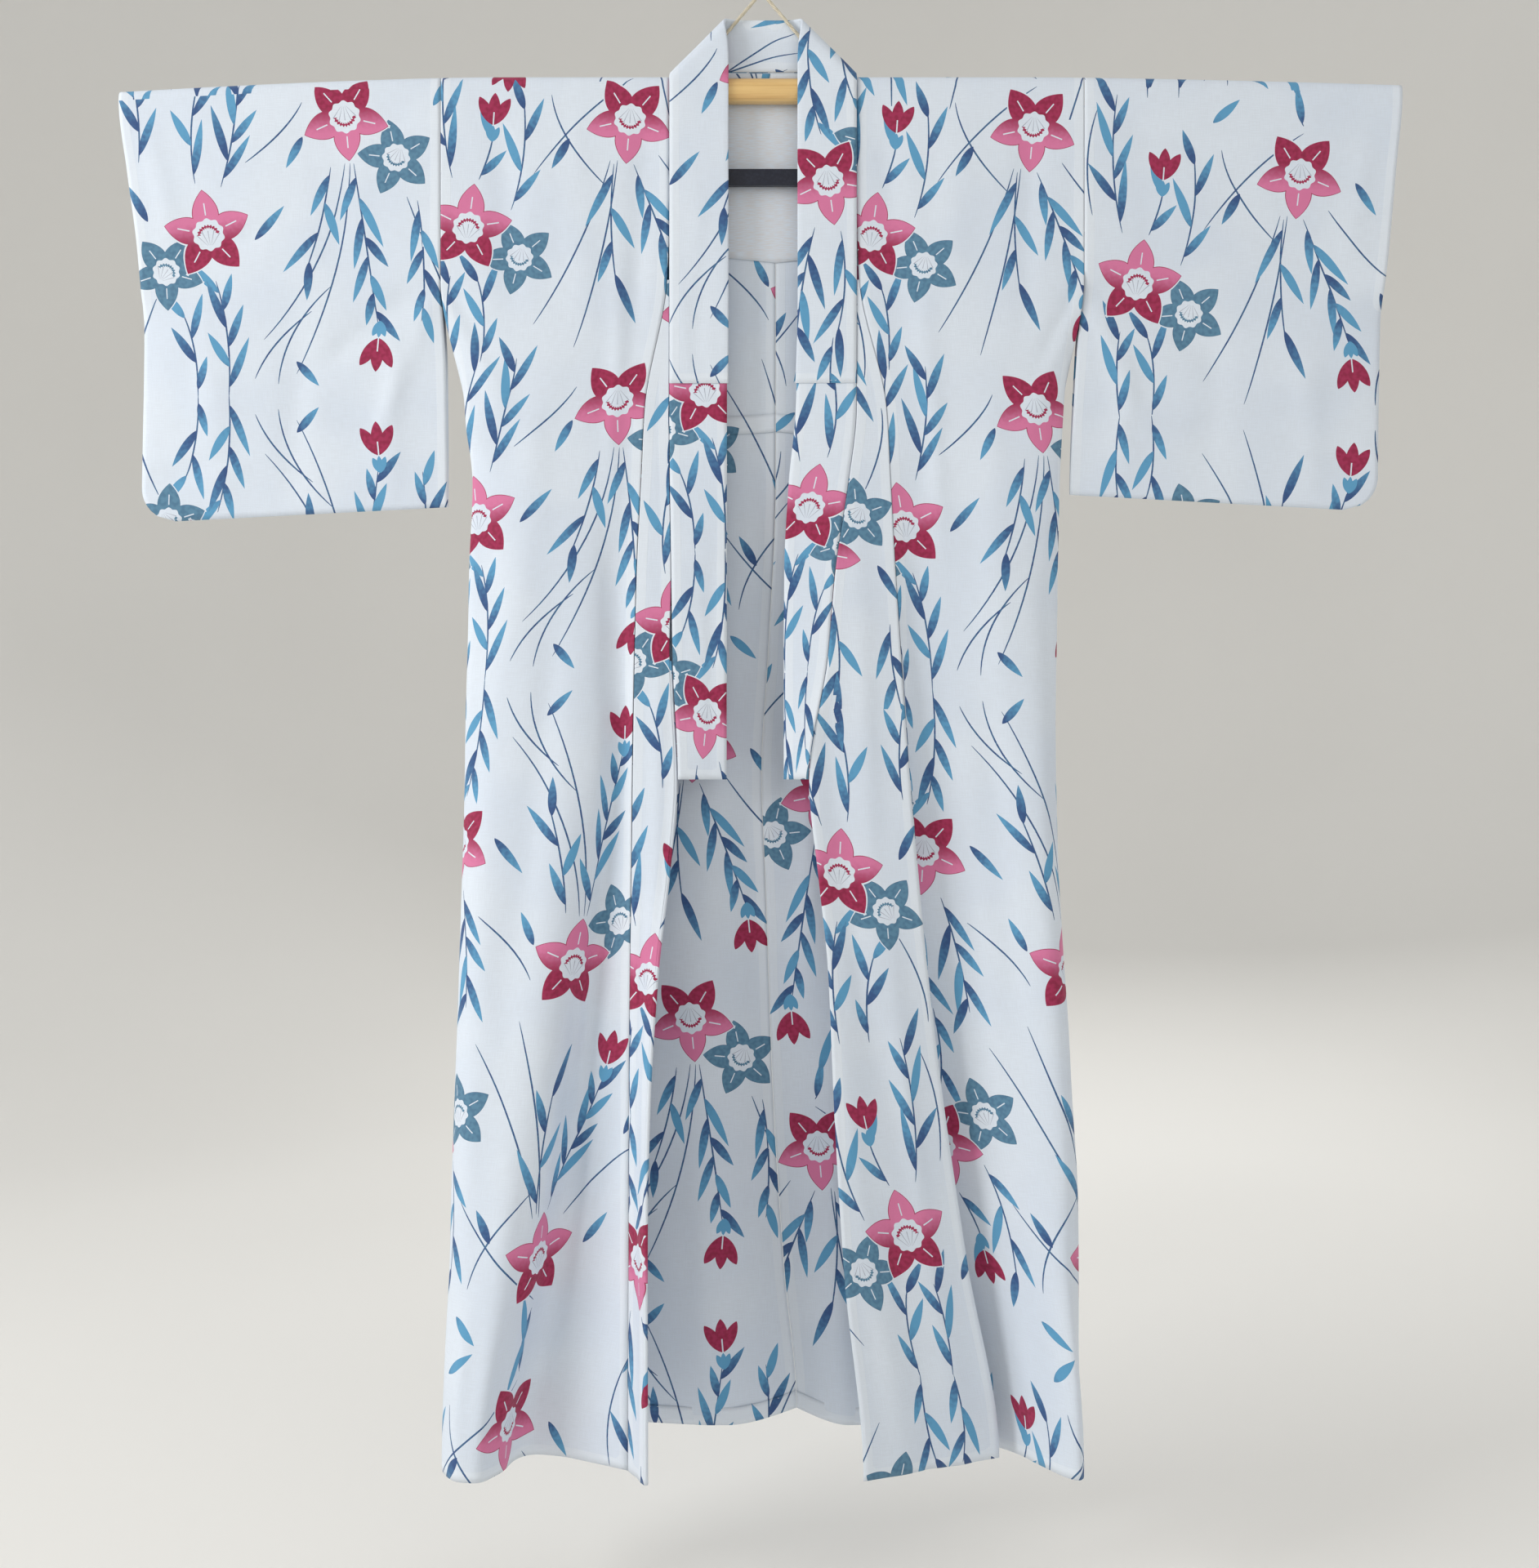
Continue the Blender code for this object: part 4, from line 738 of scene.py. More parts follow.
def cloth(*patches):
    """Sheet made of grids of cells, each given as its cells, the way it faces and place(i, j): a
    point, its place on the flat cloth across and along, and how far it lies from a seam."""
    bm = bmesh.new()
    flat = bm.verts.layers.float_vector.new("flat")
    uv = bm.loops.layers.uv.new("Cloth")
    for (columns, rows), facing, place in patches:
        faces = set()
        for vert, i, j in grid(bm, columns, rows):
            vert.co, *vert[flat] = place(i, j)
            faces.update(vert.link_faces)
        for face in faces:
            for loop in face.loops:
                loop[uv].uv = loop.vert[flat][:2]
        bm.normal_update()
        heading = sum((face.normal * face.calc_area() for face in faces), Vector())
        if heading.dot(Vector(facing)) < 0.0:
            bmesh.ops.reverse_faces(bm, faces=list(faces))
    return bm


def crease_heights(rows, across, length):
    """Height of all creases at points of the flat cloth, in metres."""
    total = np.zeros(len(across))
    for s0, t0, s1, t1, half_width, height in rows:
        start = np.array((s0, t0)) * MM
        run = np.array((s1 - s0, t1 - t0)) * MM
        away_s, away_t = across - start[0], length - start[1]
        share = np.clip((away_s * run[0] + away_t * run[1]) / (run @ run), 0.0, 1.0)
        distance = np.hypot(away_s - run[0] * share, away_t - run[1] * share)
        # No crease runs quite straight or even, and each fades out towards its ends
        wander = 1.0 + 0.25 * np.sin(length * 23.0 + s0) * np.cos(length * 9.0 + t0)
        ends = 0.2 + 0.8 * np.clip(np.minimum(share, 1.0 - share) * 4.0, 0.0, 1.0)
        hump = np.exp(-(distance / (half_width * MM * wander)) ** 2)
        total += CREASE_DEPTH * height * MM * hump * ends
    # Faint unevenness of cloth that has been folded and worn
    ripple = np.sin(across * 61.0 + np.sin(length * 7.0) * 2.0) * np.sin(length * 17.0 + across * 13.0)
    return total + RIPPLE_HEIGHT * ripple


class Print:
    """Dyed motifs of one bolt, each a small frame on the flat cloth that it is drawn in."""

    def __init__(self):
        self.layers = {}
        self.span = (0.0, 0.0)

    def add(self, layer, origin, across, up, size, start, end):
        if self.span[0] <= start[1] < self.span[1]:
            self.layers.setdefault(layer, []).append((*origin, *across, *up, size, *start, *end))

    def cell(self, kind, to_bolt):
        """Adds one cell's motifs; to_bolt turns a point or a direction into the bolt's own."""
        leaf_number = 0
        for name, x, y, way_up, turn, size in FLOWERS[kind]:
            angle = math.radians(turn)
            origin = to_bolt((x, y), 1.0)
            across = to_bolt((math.cos(angle), math.sin(angle) * way_up), 0.0)
            up = to_bolt((-math.sin(angle), math.cos(angle) * way_up), 0.0)
            self.add(name, origin, across, up, size * MM, origin, origin)
        for number, (x0, y0, xb, yb, x1, y1, pairs, first, last) in enumerate(SPRIGS[kind]):
            curve = Curve((x0, y0), (xb, yb), (x1, y1))
            self.stem("stem%d" % (number % STEM_LAYERS), curve, to_bolt)
            for k in range(2 * pairs):
                turned = 1.0 if k % 2 else -1.0
                share = 0.08 + 0.80 * k / (2 * pairs - 1)
                place, heading = curve.at(share)
                uneven = math.sin(2.3 * k + x0)
                length = (first + (last - first) * share) * LEAF_GROWTH * (1.0 + 0.17 * uneven)
                angle = turned * LEAF_SPREAD * (1.0 + 0.35 * math.cos(1.7 * k + y1))
                way = (heading[0] * math.cos(angle) - heading[1] * math.sin(angle),
                       heading[0] * math.sin(angle) + heading[1] * math.cos(angle))
                tip = (place[0] + way[0] * length, place[1] + way[1] * length)
                self.leaf(leaf_number, place, tip, to_bolt)
                leaf_number += 1
        for x0, y0, x1, y1 in LONE_LEAVES[kind]:
            self.leaf(leaf_number, (x0, y0), (x1, y1), to_bolt)
            leaf_number += 1
        for number, (x0, y0, xb, yb, x1, y1) in enumerate(GRASS[kind]):
            self.stem("stem%d" % ((number + 1) % STEM_LAYERS), Curve((x0, y0), (xb, yb), (x1, y1)), to_bolt)

    def leaf(self, number, foot, tip, to_bolt):
        start, end = to_bolt(foot, 1.0), to_bolt(tip, 1.0)
        run = (end[0] - start[0], end[1] - start[1])
        size = math.hypot(*run)
        way = (run[0] / size, run[1] / size)
        self.add("leaf%d" % (number % LEAF_LAYERS), start, way, (-way[1], way[0]), size, start, end)

    def stem(self, layer, curve, to_bolt):
        """A thin line in short straight lengths, each knowing how far along it starts."""
        points = [to_bolt(curve.at(k / STEM_STEPS)[0], 1.0) for k in range(STEM_STEPS + 1)]
        lengths = [math.hypot(b[0] - a[0], b[1] - a[1]) for a, b in zip(points, points[1:])]
        total = sum(lengths)
        run = 0.0
        for (start, end), length in zip(zip(points, points[1:]), lengths):
            way = ((end[0] - start[0]) / length, (end[1] - start[1]) / length)
            origin = (start[0] - way[0] * run, start[1] - way[1] * run)
            self.add(layer, origin, way, (-way[1], way[0]), total, start, end)
            run += length

    def dye(self, mesh, low, high):
        """Writes each corner's place in the frame of the motif that is nearest its face."""
        uv = np.empty(len(mesh.loops) * 2, np.float32)
        mesh.uv_layers["Cloth"].uv.foreach_get("vector", uv)
        uv = uv.reshape(-1, 2).astype(float)
        starts = np.empty(len(mesh.polygons), np.int32)
        totals = np.empty(len(mesh.polygons), np.int32)
        mesh.polygons.foreach_get("loop_start", starts)
        mesh.polygons.foreach_get("loop_total", totals)
        centres = np.add.reduceat(uv, starts, axis=0) / totals[:, None]
        for layer in motif_layers():
            data = np.array(self.layers.get(layer, [(FAR_AWAY,) * 11]), float)
            starts_at = data[:, 7:9]
            near = (starts_at > low - MOTIF_REACH) & (starts_at < high + MOTIF_REACH)
            data = data[near.all(axis=1)]
            local = np.full((len(uv), 3), FAR_AWAY)
            if len(data):
                chosen = nearest(centres, data[:, 7:9], data[:, 9:11])
                corner = data[np.repeat(chosen, totals)]
                away = uv - corner[:, 0:2]
                local[:, 0] = (away * corner[:, 2:4]).sum(axis=1)
                local[:, 1] = (away * corner[:, 4:6]).sum(axis=1)
                local[:, 2] = corner[:, 6]
            made = mesh.attributes.new(layer, "FLOAT_VECTOR", "CORNER")
            made.data.foreach_set("vector", local.astype(np.float32).ravel())


class Curve:
    """Bent line from a start to an end over one bend."""

    def __init__(self, start, bend, end):
        self.knots = (start, bend, end)

    def at(self, t):
        """Point and heading at t from 0 to 1."""
        a, b, c = self.knots
        point = tuple((1 - t) ** 2 * a[k] + 2 * t * (1 - t) * b[k] + t * t * c[k] for k in (0, 1))
        run = tuple(2 * (1 - t) * (b[k] - a[k]) + 2 * t * (c[k] - b[k]) for k in (0, 1))
        size = math.hypot(*run)
        return point, (run[0] / size, run[1] / size)


def nearest(points, starts, ends):
    """For each point, the number of the nearest straight length."""
    runs = ends - starts
    squares = np.maximum((runs ** 2).sum(axis=1), 1e-12)
    best = np.full(len(points), np.inf)
    chosen = np.zeros(len(points), int)
    for number in range(len(starts)):
        away = points - starts[number]
        share = np.clip(away @ runs[number] / squares[number], 0.0, 1.0)
        distance = ((away - share[:, None] * runs[number]) ** 2).sum(axis=1)
        closer = distance < best
        best[closer] = distance[closer]
        chosen[closer] = number
    return chosen


def motif_layers():
    layers = ["crimson", "blue", "bud"]
    layers += ["leaf%d" % k for k in range(LEAF_LAYERS)]
    layers += ["stem%d" % k for k in range(STEM_LAYERS)]
    return layers


def printed(cut, low, high):
    """The motifs of the bolt over the stretches that one piece was cut from."""
    made = Print()
    stretches = CUTS[cut]
    ends = [stretch[0] for stretch in stretches[1:]] + [BOLT_END]
    for (begin, first, mirror_z, shift, swapped), end in zip(stretches, ends):
        made.span = (begin * MM, end * MM)
        second = "lone" if first == "pair" else "pair"
        first_cell = math.floor((max(begin, low[1] / MM) - mirror_z) / CELL_HEIGHT)
        last_cell = math.ceil((min(end, high[1] / MM) - mirror_z) / CELL_HEIGHT)
        way = -1.0 if swapped else 1.0
        for number in range(first_cell, last_cell):
            turn = number % 4
            kind = first if turn in (0, 3) else second
            upright = 1.0 if turn in (0, 1) else -1.0
            foot = mirror_z + (number if upright > 0.0 else number + 1) * CELL_HEIGHT
            for beside in (-1, 0, 1):
                edge = shift + (beside + swapped) * CELL_WIDTH

                def to_bolt(point, place, foot=foot, upright=upright, edge=edge):
                    scale = MM if place else 1.0
                    return ((point[0] * way + edge * place) * scale,
                            (point[1] * upright + foot * place) * scale)

                made.cell(kind, to_bolt)
    return made


def mark_allowance(bm):
    """Writes on each vertex its distance from the sheet's own edge, where the cloth is double."""
    layer = bm.verts.layers.float.new("edge_distance")
    edge_verts = [vert for vert in bm.verts if vert.is_boundary]
    tree = KDTree(len(edge_verts))
    for number, vert in enumerate(edge_verts):
        tree.insert(vert.co, number)
    tree.balance()
    for vert in bm.verts:
        vert[layer] = tree.find(vert.co)[2]


def link_object(name, data):
    item = bpy.data.objects.new(name, data)
    bpy.context.scene.collection.objects.link(item)
    return item


def piece(name, bm, finish, smooth=True):
    """Object made from a finished bmesh, with its material."""
    mesh = bpy.data.meshes.new(name)
    bm.to_mesh(mesh)
    bm.free()
    if smooth:
        mesh.shade_smooth()
    mesh.materials.append(material(finish))
    return link_object(name, mesh)


def finish_sheet(bm, name, node, cut=None, lift=None, wall=None, held="hung", rests_on=("rod",)):
    """Turns a laid out sheet into a piece: creases, print, thickness and finish. cut names
    the part of the bolt where that isn't the replaced node's own, and is empty for plain cloth."""
    look = bpy.context.scene.yukata_look
    cut = node if cut is None else cut
    bmesh.ops.remove_doubles(bm, verts=bm.verts[:], dist=0.02 * MM)
    bm.normal_update()
    mark_allowance(bm)
    flat = bm.verts.layers.float_vector["flat"]
    values = np.array([vert[flat][:] for vert in bm.verts])
    fade = np.clip(values[:, 2] / CREASE_FADE, 0.0, 1.0)
    heights = crease_heights(CREASES.get(node, ()), values[:, 0], values[:, 1])
    heights *= fade * fade * (3.0 - 2.0 * fade)
    for vert, height in zip(bm.verts, heights):
        vert.co = vert.co + vert.normal * ((look.sheet_lift if lift is None else lift) + height)
    area = sum(face.calc_area() for face in bm.faces)
    item = piece(name, bm, "cotton" if cut else "lining")
    low, high = values[:, :2].min(axis=0), values[:, :2].max(axis=0)
    if cut:
        printed(cut, low, high).dye(item.data, low, high)
    solid = item.modifiers.new("Cloth", "SOLIDIFY")
    solid.thickness = look.sheet_wall if wall is None else wall
    solid.offset = -1.0
    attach(item, ROOT)
    if node:
        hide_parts(node)
    width, length = float(high[0] - low[0]), float(high[1] - low[1])
    stretch = max(1.0, area / (width * length))
    width * stretch
    float(min(area, width * stretch * length))


def back_length(z):
    """Place along the cloth of a height on the back, beyond the fold over the rod."""
    return PANEL_TOP_Z * 2.0 + FOLD_ARC - z


def lay_body(side):
    """One body length: up the front, over the rod and down the back."""
    sign = SIDES[side]
    columns, rows = FRONT_CELLS
    outermost = abs(FRONT[side].at("side_x", TOP_MM)) * MM

    def front(i, j):
        row = front_row(side, TOP_MM + (FRONT_HEM_Z - TOP_MM) * j / rows)
        point, run = row[i]
        across = outermost - abs(row[0][0].x) + run
        return point, across, point.z, min(run, row[-1][1] - run, PANEL_TOP_Z - point.z)

    def fold(i, j):
        x = front_row(side, TOP_MM)[i][0].x
        share = j / FOLD_CELLS
        return shoulder_fold(x, share), outermost - abs(x), PANEL_TOP_Z + FOLD_ARC * share, 0.0

    top_x = [point.x for point, run in front_row(side, TOP_MM)]
    centre_x = CENTRE_SEAM.at("x", NECK_SEAM_Z / MM) * MM + sign * SEAM / 2.0
    for k in range(1, NECK_CELLS + 1):
        top_x.append(top_x[columns] + (centre_x - top_x[columns]) * k / NECK_CELLS)
    last = columns + NECK_CELLS

    def back(i, j):
        z = TOP_MM + (FRONT_HEM_Z - TOP_MM) * j / rows
        top_share = (top_x[i] - top_x[0]) / (centre_x - top_x[0])
        share = top_share + (i / last - top_share) * float(np.interp(z, *BACK_SPREAD))
        point = back_point(side, z, share)
        if j == 0:
            point = Vector((top_x[i], BACK_Y, PANEL_TOP_Z - bow(top_x[i])))
        edges = [abs(point.x - back_point(side, z, u).x) for u in (0.0, 1.0)]
        return point, outermost - point.x * sign, back_length(point.z), min(*edges, PANEL_TOP_Z - z * MM)

    def neck(i, j):
        x = top_x[columns + i]
        rise = j / NECK_RISE_CELLS * min(1.0, i / NECK_RISE_CELLS)
        point = Vector((x, BACK_Y, PANEL_TOP_Z)).lerp(Vector((x, NECK_BACK_Y, NECK_SEAM_Z - WALL)), rise)
        return point, outermost - x * sign, back_length(point.z), 0.0

    return cloth(((columns, rows), (0, -1, 0), front), ((columns, FOLD_CELLS), (0, 0, 1), fold),
                 ((last, rows), (0, 1, 0), back), ((NECK_CELLS, NECK_RISE_CELLS), (0, 1, 0), neck))


def lay_sleeve(side):
    """One sleeve: folded over the rod, sewn along the bottom and below the cuff."""
    columns, rows = SLEEVE_CELLS
    armhole = abs(SLEEVE_INNER[side].at("x", TOP_MM)) * MM

    def layer(face):
        def place(i, j):
            point = sleeve_point(side, face, j / rows, i / columns)
            edges = [abs(point.x - sleeve_point(side, face, j / rows, u).x) for u in (0.0, 1.0)]
            above = point.z - sleeve_point(side, face, 1.0, i / columns).z
            below = PANEL_TOP_Z - bow(point.x) - point.z
            length = point.z if face < 0.0 else back_length(point.z)
            return point, abs(point.x) - armhole, length, min(*edges, above, below)
        return place

    def fold(i, j):
        x = sleeve_point(side, -1.0, 0.0, i / columns).x
        share = j / FOLD_CELLS
        return shoulder_fold(x, share), abs(x) - armhole, PANEL_TOP_Z + FOLD_ARC * share, 0.0

    def sewn(height, reach):
        """Narrow strip that joins the two layers where they are sewn together."""
        def place(i, j):
            point = sleeve_point(side, 2.0 * j - 1.0, height(i), reach(i))
            return point, abs(point.x) - armhole, point.z, 0.0
        return place

    half = rows // 2
    return cloth(((columns, rows), (0, -1, 0), layer(-1.0)), ((columns, rows), (0, 1, 0), layer(1.0)),
                 ((columns, FOLD_CELLS), (0, 0, 1), fold),
                 ((columns, 1), (0, 0, -1), sewn(lambda i: 1.0, lambda i: i / columns)),
                 ((rows - half, 1), (SIDES[side], 0, 0), sewn(lambda i: (half + i) / rows, lambda i: 1.0)))


def overlap_z(start, share):
    return start + (FRONT_HEM_Z - start) * share


def lay_right_overlap():
    """Overlap panel whose inner part is turned back behind the front."""
    side = "right"

    def row(z):
        before, seam = (Vector(knot) for knot in front_section(side, z)[-2:])
        free = Vector(OVERLAP[side].point("free", z))
        heading = (free - seam).normalized()
        outward = Vector((heading.y, -heading.x))
        bend_forward = max(0.0, -(seam - before).normalized().cross(heading))
        seam += heading * (2.0 * SEAM + WALL * bend_forward)
        turned = eased((OVERLAP_TOP_Z * 2.0 - z) / TURN_START_SPAN)
        return seam, free - heading * (TURN_RADIUS + WALL) * turned, heading, outward

    def flat(i, j):
        columns, rows = OVERLAP_CELLS
        z = overlap_z(OVERLAP_TOP_Z, j / rows)
        seam, end, heading, outward = row(z)
        x, y = seam.lerp(end, i / columns)
        width = (end - seam).length
        run = width * i / columns
        point = Vector((x, y, panel_z(z, x, FRONT_HEM_Z)))
        return point, run, point.z, min(run, width - run)

    def turn(i, j):
        columns, rows = LAP_CELLS
        z = overlap_z(TURN_BACK_Z, j / rows)
        seam, end, heading, outward = row(z)
        across = (end - seam).length
        if i <= TURN_CELLS:
            angle = math.pi * i / TURN_CELLS
            way = outward * math.cos(angle) + heading * math.sin(angle)
            x, y = end - outward * TURN_RADIUS + way * TURN_RADIUS
            across += TURN_RADIUS * angle
        else:
            lap = OVERLAP[side].at("lap", z) * MM
            gap = OVERLAP[side].at("lap_gap", z) * MM
            last = end - outward * 2.0 * TURN_RADIUS
            bend = max(seam.x + LAP_BEND, last.x - lap / 2.0)
            k = (i - TURN_CELLS) / (columns - TURN_CELLS)
            share = (k - LAP_BEND_SHARE) / (1.0 - LAP_BEND_SHARE)
            if share < 0.0:
                x = last.x + (bend - last.x) * k / LAP_BEND_SHARE
                y = last.y + (front_depth(side, z, bend) + gap - last.y) * k / LAP_BEND_SHARE
            else:
                x = bend + (last.x - lap - bend) * share
                y = front_depth(side, z, x) + gap
            across += TURN_RADIUS * math.pi + last.x - x
        point = Vector((x, y, panel_z(z, x, FRONT_HEM_Z)))
        return point, across, point.z, 0.0

    return cloth((OVERLAP_CELLS, (0, -1, 0), flat), (LAP_CELLS, (0, 1, 0), turn))


def lay_left_overlap():
    """Overlap panel that hangs open, forward of the front panel's fold."""
    def place(i, j):
        columns, rows = OVERLAP_CELLS
        z = overlap_z(OVERLAP_TOP_Z, j / rows)
        seam = Vector(FRONT["left"].point("seam", z)) + Vector((-SEAM, -2.0 * SEAM))
        free = Vector(OVERLAP["left"].point("free", z)) + Vector((0.0, -2.0 * SEAM))
        x, y = seam.lerp(free, i / columns)
        width = (free - seam).length
        run = width * i / columns
        point = Vector((x, y, panel_z(z, x, FRONT_HEM_Z)))
        return point, run, point.z, min(run, width - run)

    return cloth((OVERLAP_CELLS, (0, -1, 0), place))


def lay_strip(end_z, section):
    """Sheet along the whole collar: section lists (share, extra, lift, across) over it."""
    stations = collar_stations(end_z)

    def place(i, j):
        side, start, slant, length = stations[j]
        share, extra, lift, across = section[i]
        run = slant * share * COLLAR_WIDTH
        w = share * strip_width(start + run) + extra
        from_seam = min(abs(across), abs(section[-1][3] - across), abs(start - end_z))
        return collar_point(side, start + slant * w, w, lift), across, length - run * SIDES[side], from_seam

    return cloth(((len(section) - 1, len(stations) - 1), (0, -1, 0), place))


def lay_collar():
    shares = [i / STRIP_CELLS for i in range(STRIP_CELLS + 1)]
    return lay_strip(COLLAR_END_Z, [(share, 0.0, 0.0, share * COLLAR_WIDTH) for share in shares])


def lay_collar_cover():
    """Second strip folded round the collar's free edge, over its middle stretch."""
    lift = COLLAR_WALL / 2.0 + SEAM
    shares = [i / STRIP_CELLS for i in range(STRIP_CELLS + 1)]
    section = [(share, 0.0, lift, share * COLLAR_WIDTH) for share in shares]
    for k in range(1, COVER_TURN_CELLS):
        angle = math.pi * k / COVER_TURN_CELLS
        section.append((1.0, COVER_TURN * math.sin(angle), lift * math.cos(angle),
                        COLLAR_WIDTH + lift * angle))
    for share in reversed(shares):
        section.append((share, 0.0, -lift, COLLAR_WIDTH * (2.0 - share) + math.pi * lift))
    return lay_strip(COVER_END_Z, section)


def lay_lining():
    columns, rows = LINING_CELLS

    def place(i, j):
        x = LINING_HALF_WIDTH * (2.0 * i / columns - 1.0)
        middle = max(0.0, 1.0 - abs(x - CENTRE_SEAM.at("x", LINING_END_Z)) / LINING_POINT_HALF_WIDTH)
        end = LINING_END_Z + (LINING_POINT_Z - LINING_END_Z) * middle
        z = LINING_TOP_Z + (end - LINING_TOP_Z) * j / rows
        return Vector((x * MM, BACK_Y - SEAM, z * MM)), (x + LINING_HALF_WIDTH) * MM, z * MM, 0.0

    return cloth((LINING_CELLS, (0, -1, 0), place))


def lay_back_band(side, top_z, end_z, start_share, inset):
    """Narrow band inside one back panel, such as the tuck or the turned up hem."""
    columns, rows = BAND_CELLS
    outermost = abs(FRONT[side].at("side_x", TOP_MM)) * MM

    def place(i, j):
        share = start_share + (1.0 - start_share) * i / columns
        point = back_point(side, top_z + (end_z - top_z) * j / rows, share)
        point.y -= inset
        return point, outermost - point.x * SIDES[side], back_length(point.z), 0.0

    return cloth((BAND_CELLS, (0, -1, 0), place))


class Value:
    """A number or colour in a material; arithmetic on it adds the nodes that work it out."""

    def __init__(self, graph, socket):
        self.graph = graph
        self.socket = socket

    def __rsub__(self, other):
        return self.graph.math("SUBTRACT", other, self)


def math_node(operation):
    return lambda *values: values[0].graph.math(operation, *values)


# Two masks multiplied are where both are; | gives the larger value, and so either mask
for method, operation in (
        ("add", "ADD"), ("sub", "SUBTRACT"), ("mul", "MULTIPLY"), ("truediv", "DIVIDE"), ("pow", "POWER"),
        ("abs", "ABSOLUTE"), ("lt", "LESS_THAN"), ("gt", "GREATER_THAN"), ("or", "MAXIMUM")):
    setattr(Value, "__%s__" % method, math_node(operation))


class Graph:
    """Short calls for building one material's nodes."""

    def __init__(self, name):
        self.look = bpy.context.scene.yukata_look
        self.material = bpy.data.materials.new(name)
        self.material.use_nodes = True
        self.tree = self.material.node_tree
        self.tree.nodes.clear()

    def feed(self, socket, value):
        """Feeds a socket from a node, a number, a colour or the name of one of the look's colours."""
        if isinstance(value, Value):
            self.tree.links.new(value.socket, socket)
            return
        if isinstance(value, str):
            value = getattr(self.look, value)
        socket.default_value = (*value, 1.0) if socket.type == "RGBA" else value

    def add(self, kind, inputs=None, **settings):
        made = self.tree.nodes.new(kind)
        for key, value in settings.items():
            setattr(made, key, value)
        for key, value in (inputs or {}).items():
            self.feed(made.inputs[key], value)
        return made

    def node(self, kind, inputs=None, output=0, **settings):
        """Adds a node and gives one of its outputs."""
        return Value(self, self.add(kind, inputs, **settings).outputs[output])

    def math(self, operation, *values):
        return self.node("ShaderNodeMath", dict(enumerate(values)), operation=operation)

    def distance(self, x, y):
        return self.math("SQRT", x * x + y * y)

    def ramp(self, value, low, high, start=0.0, end=1.0):
        """Smooth step from start to end while the value goes from low to high."""
        return self.node("ShaderNodeMapRange", dict(enumerate((value, low, high, start, end))),
                         interpolation_type="SMOOTHSTEP")

    def mix(self, factor, first, second):
        return self.node("ShaderNodeMix", {0: factor, 6: first, 7: second}, 2, data_type="RGBA")

    def frame_of(self, layer):
        """The three numbers of a motif layer: place across, place up and size."""
        vector = self.node("ShaderNodeAttribute", output="Vector", attribute_name=layer)
        return [Value(self, part) for part in self.add("ShaderNodeSeparateXYZ", {0: vector}).outputs]

    def uv(self, name):
        return self.node("ShaderNodeUVMap", uv_map=name)

    def place(self):
        return self.node("ShaderNodeTexCoord", output="Object")

    def noise(self, vector, scale, detail, stretch=None, over="3D"):
        if stretch:
            vector = self.node("ShaderNodeMapping", {"Vector": vector, "Scale": stretch})
        return self.node("ShaderNodeTexNoise", {"Vector": vector, "Scale": scale, "Detail": detail},
                         noise_dimensions=over)

    def finish(self, color, roughness, height=None, distance=None, strength=None, **fixed):
        """Makes the surface, with a bump where a height is given."""
        inputs = {"Base Color": color, "Roughness": roughness}
        inputs.update({key.replace("_", " "): value for key, value in fixed.items()})
        if height is not None:
            inputs["Normal"] = self.node("ShaderNodeBump",
                                         {"Height": height, "Distance": distance, "Strength": strength})
        shader = self.node("ShaderNodeBsdfPrincipled", inputs)
        self.add("ShaderNodeOutputMaterial", {"Surface": shader}, is_active_output=True)
        return self.material


def draw_flower(graph, layer):
    """Masks of one flower in units of its petals' length: petals with their rims and veins, the
    centre's arc and fan, and the whole outline; and how far up each place is."""
    x, y, size = graph.frame_of(layer)
    x, y = x / size, y / size
    reach = graph.distance(x, y)
    angle = graph.math("ARCTAN2", x, y)
    # Place along and beside the middle line of the nearest petal
    fold = graph.math("PINGPONG", angle, math.pi / PETALS)
    down = reach * graph.math("COSINE", fold)
    side = reach * graph.math("SINE", fold)
    width = (down | 0.0) ** 0.78 * (1.0 - down | 0.0) ** 0.95
    centre = reach < graph.math("COSINE", angle * (2.0 * PETALS)) * 0.02 + 0.345
    vein = (side < 0.014) * (down > 0.43) * (down < 0.70)
    beads = graph.math("SINE", angle * ARC_BEADS) * 0.016 + 0.03
    arc = (abs(graph.distance(x, y + 0.05) - 0.225) < beads) * (y > 0.0)
    foot = y + 0.30
    spread = graph.math("ARCTAN2", x, foot)
    span = graph.distance(x, foot)
    fan = (abs(graph.math("SINE", spread * FAN_LINES)) < 0.24) * (span > 0.07) * (span < 0.40)
    return {
        "petal": (side < width) * (1.0 - centre) * (1.0 - vein),
        "rim": width - side < 0.016,
        "arc": arc,
        "fan": fan * (y < 0.08) * (abs(spread) < 0.85),
        "whole": (side < width + (down < 1.04) * 0.035) | centre,
        "up": y,
    }


def draw_lens(x, y, turn, length, half_width):
    """Mask of a pointed leaf shape that starts at the origin and is turned from upright."""
    c, s = math.cos(turn), math.sin(turn)
    share = (x * s + y * c) / length
    hump = (share * (1.0 - share) * 4.0 | 0.0) ** 0.8
    return abs(x * c - y * s) < hump * half_width


def draw_bud(graph):
    """Masks of a closed bud with three tips and of the small cup below it."""
    x, y, size = graph.frame_of("bud")
    x, y = abs(x / size), y / size
    foot = y + 0.52
    bud = draw_lens(x, y, 0.0, 1.0, 0.19) | draw_lens(x, y, 0.52, 0.98, 0.18)
    cup = draw_lens(x, foot, 0.0, 0.50, 0.09) | draw_lens(x, foot, 0.4, 0.50, 0.10)
    return bud * (1.0 - (x < 0.02) * (y < 0.4)), cup


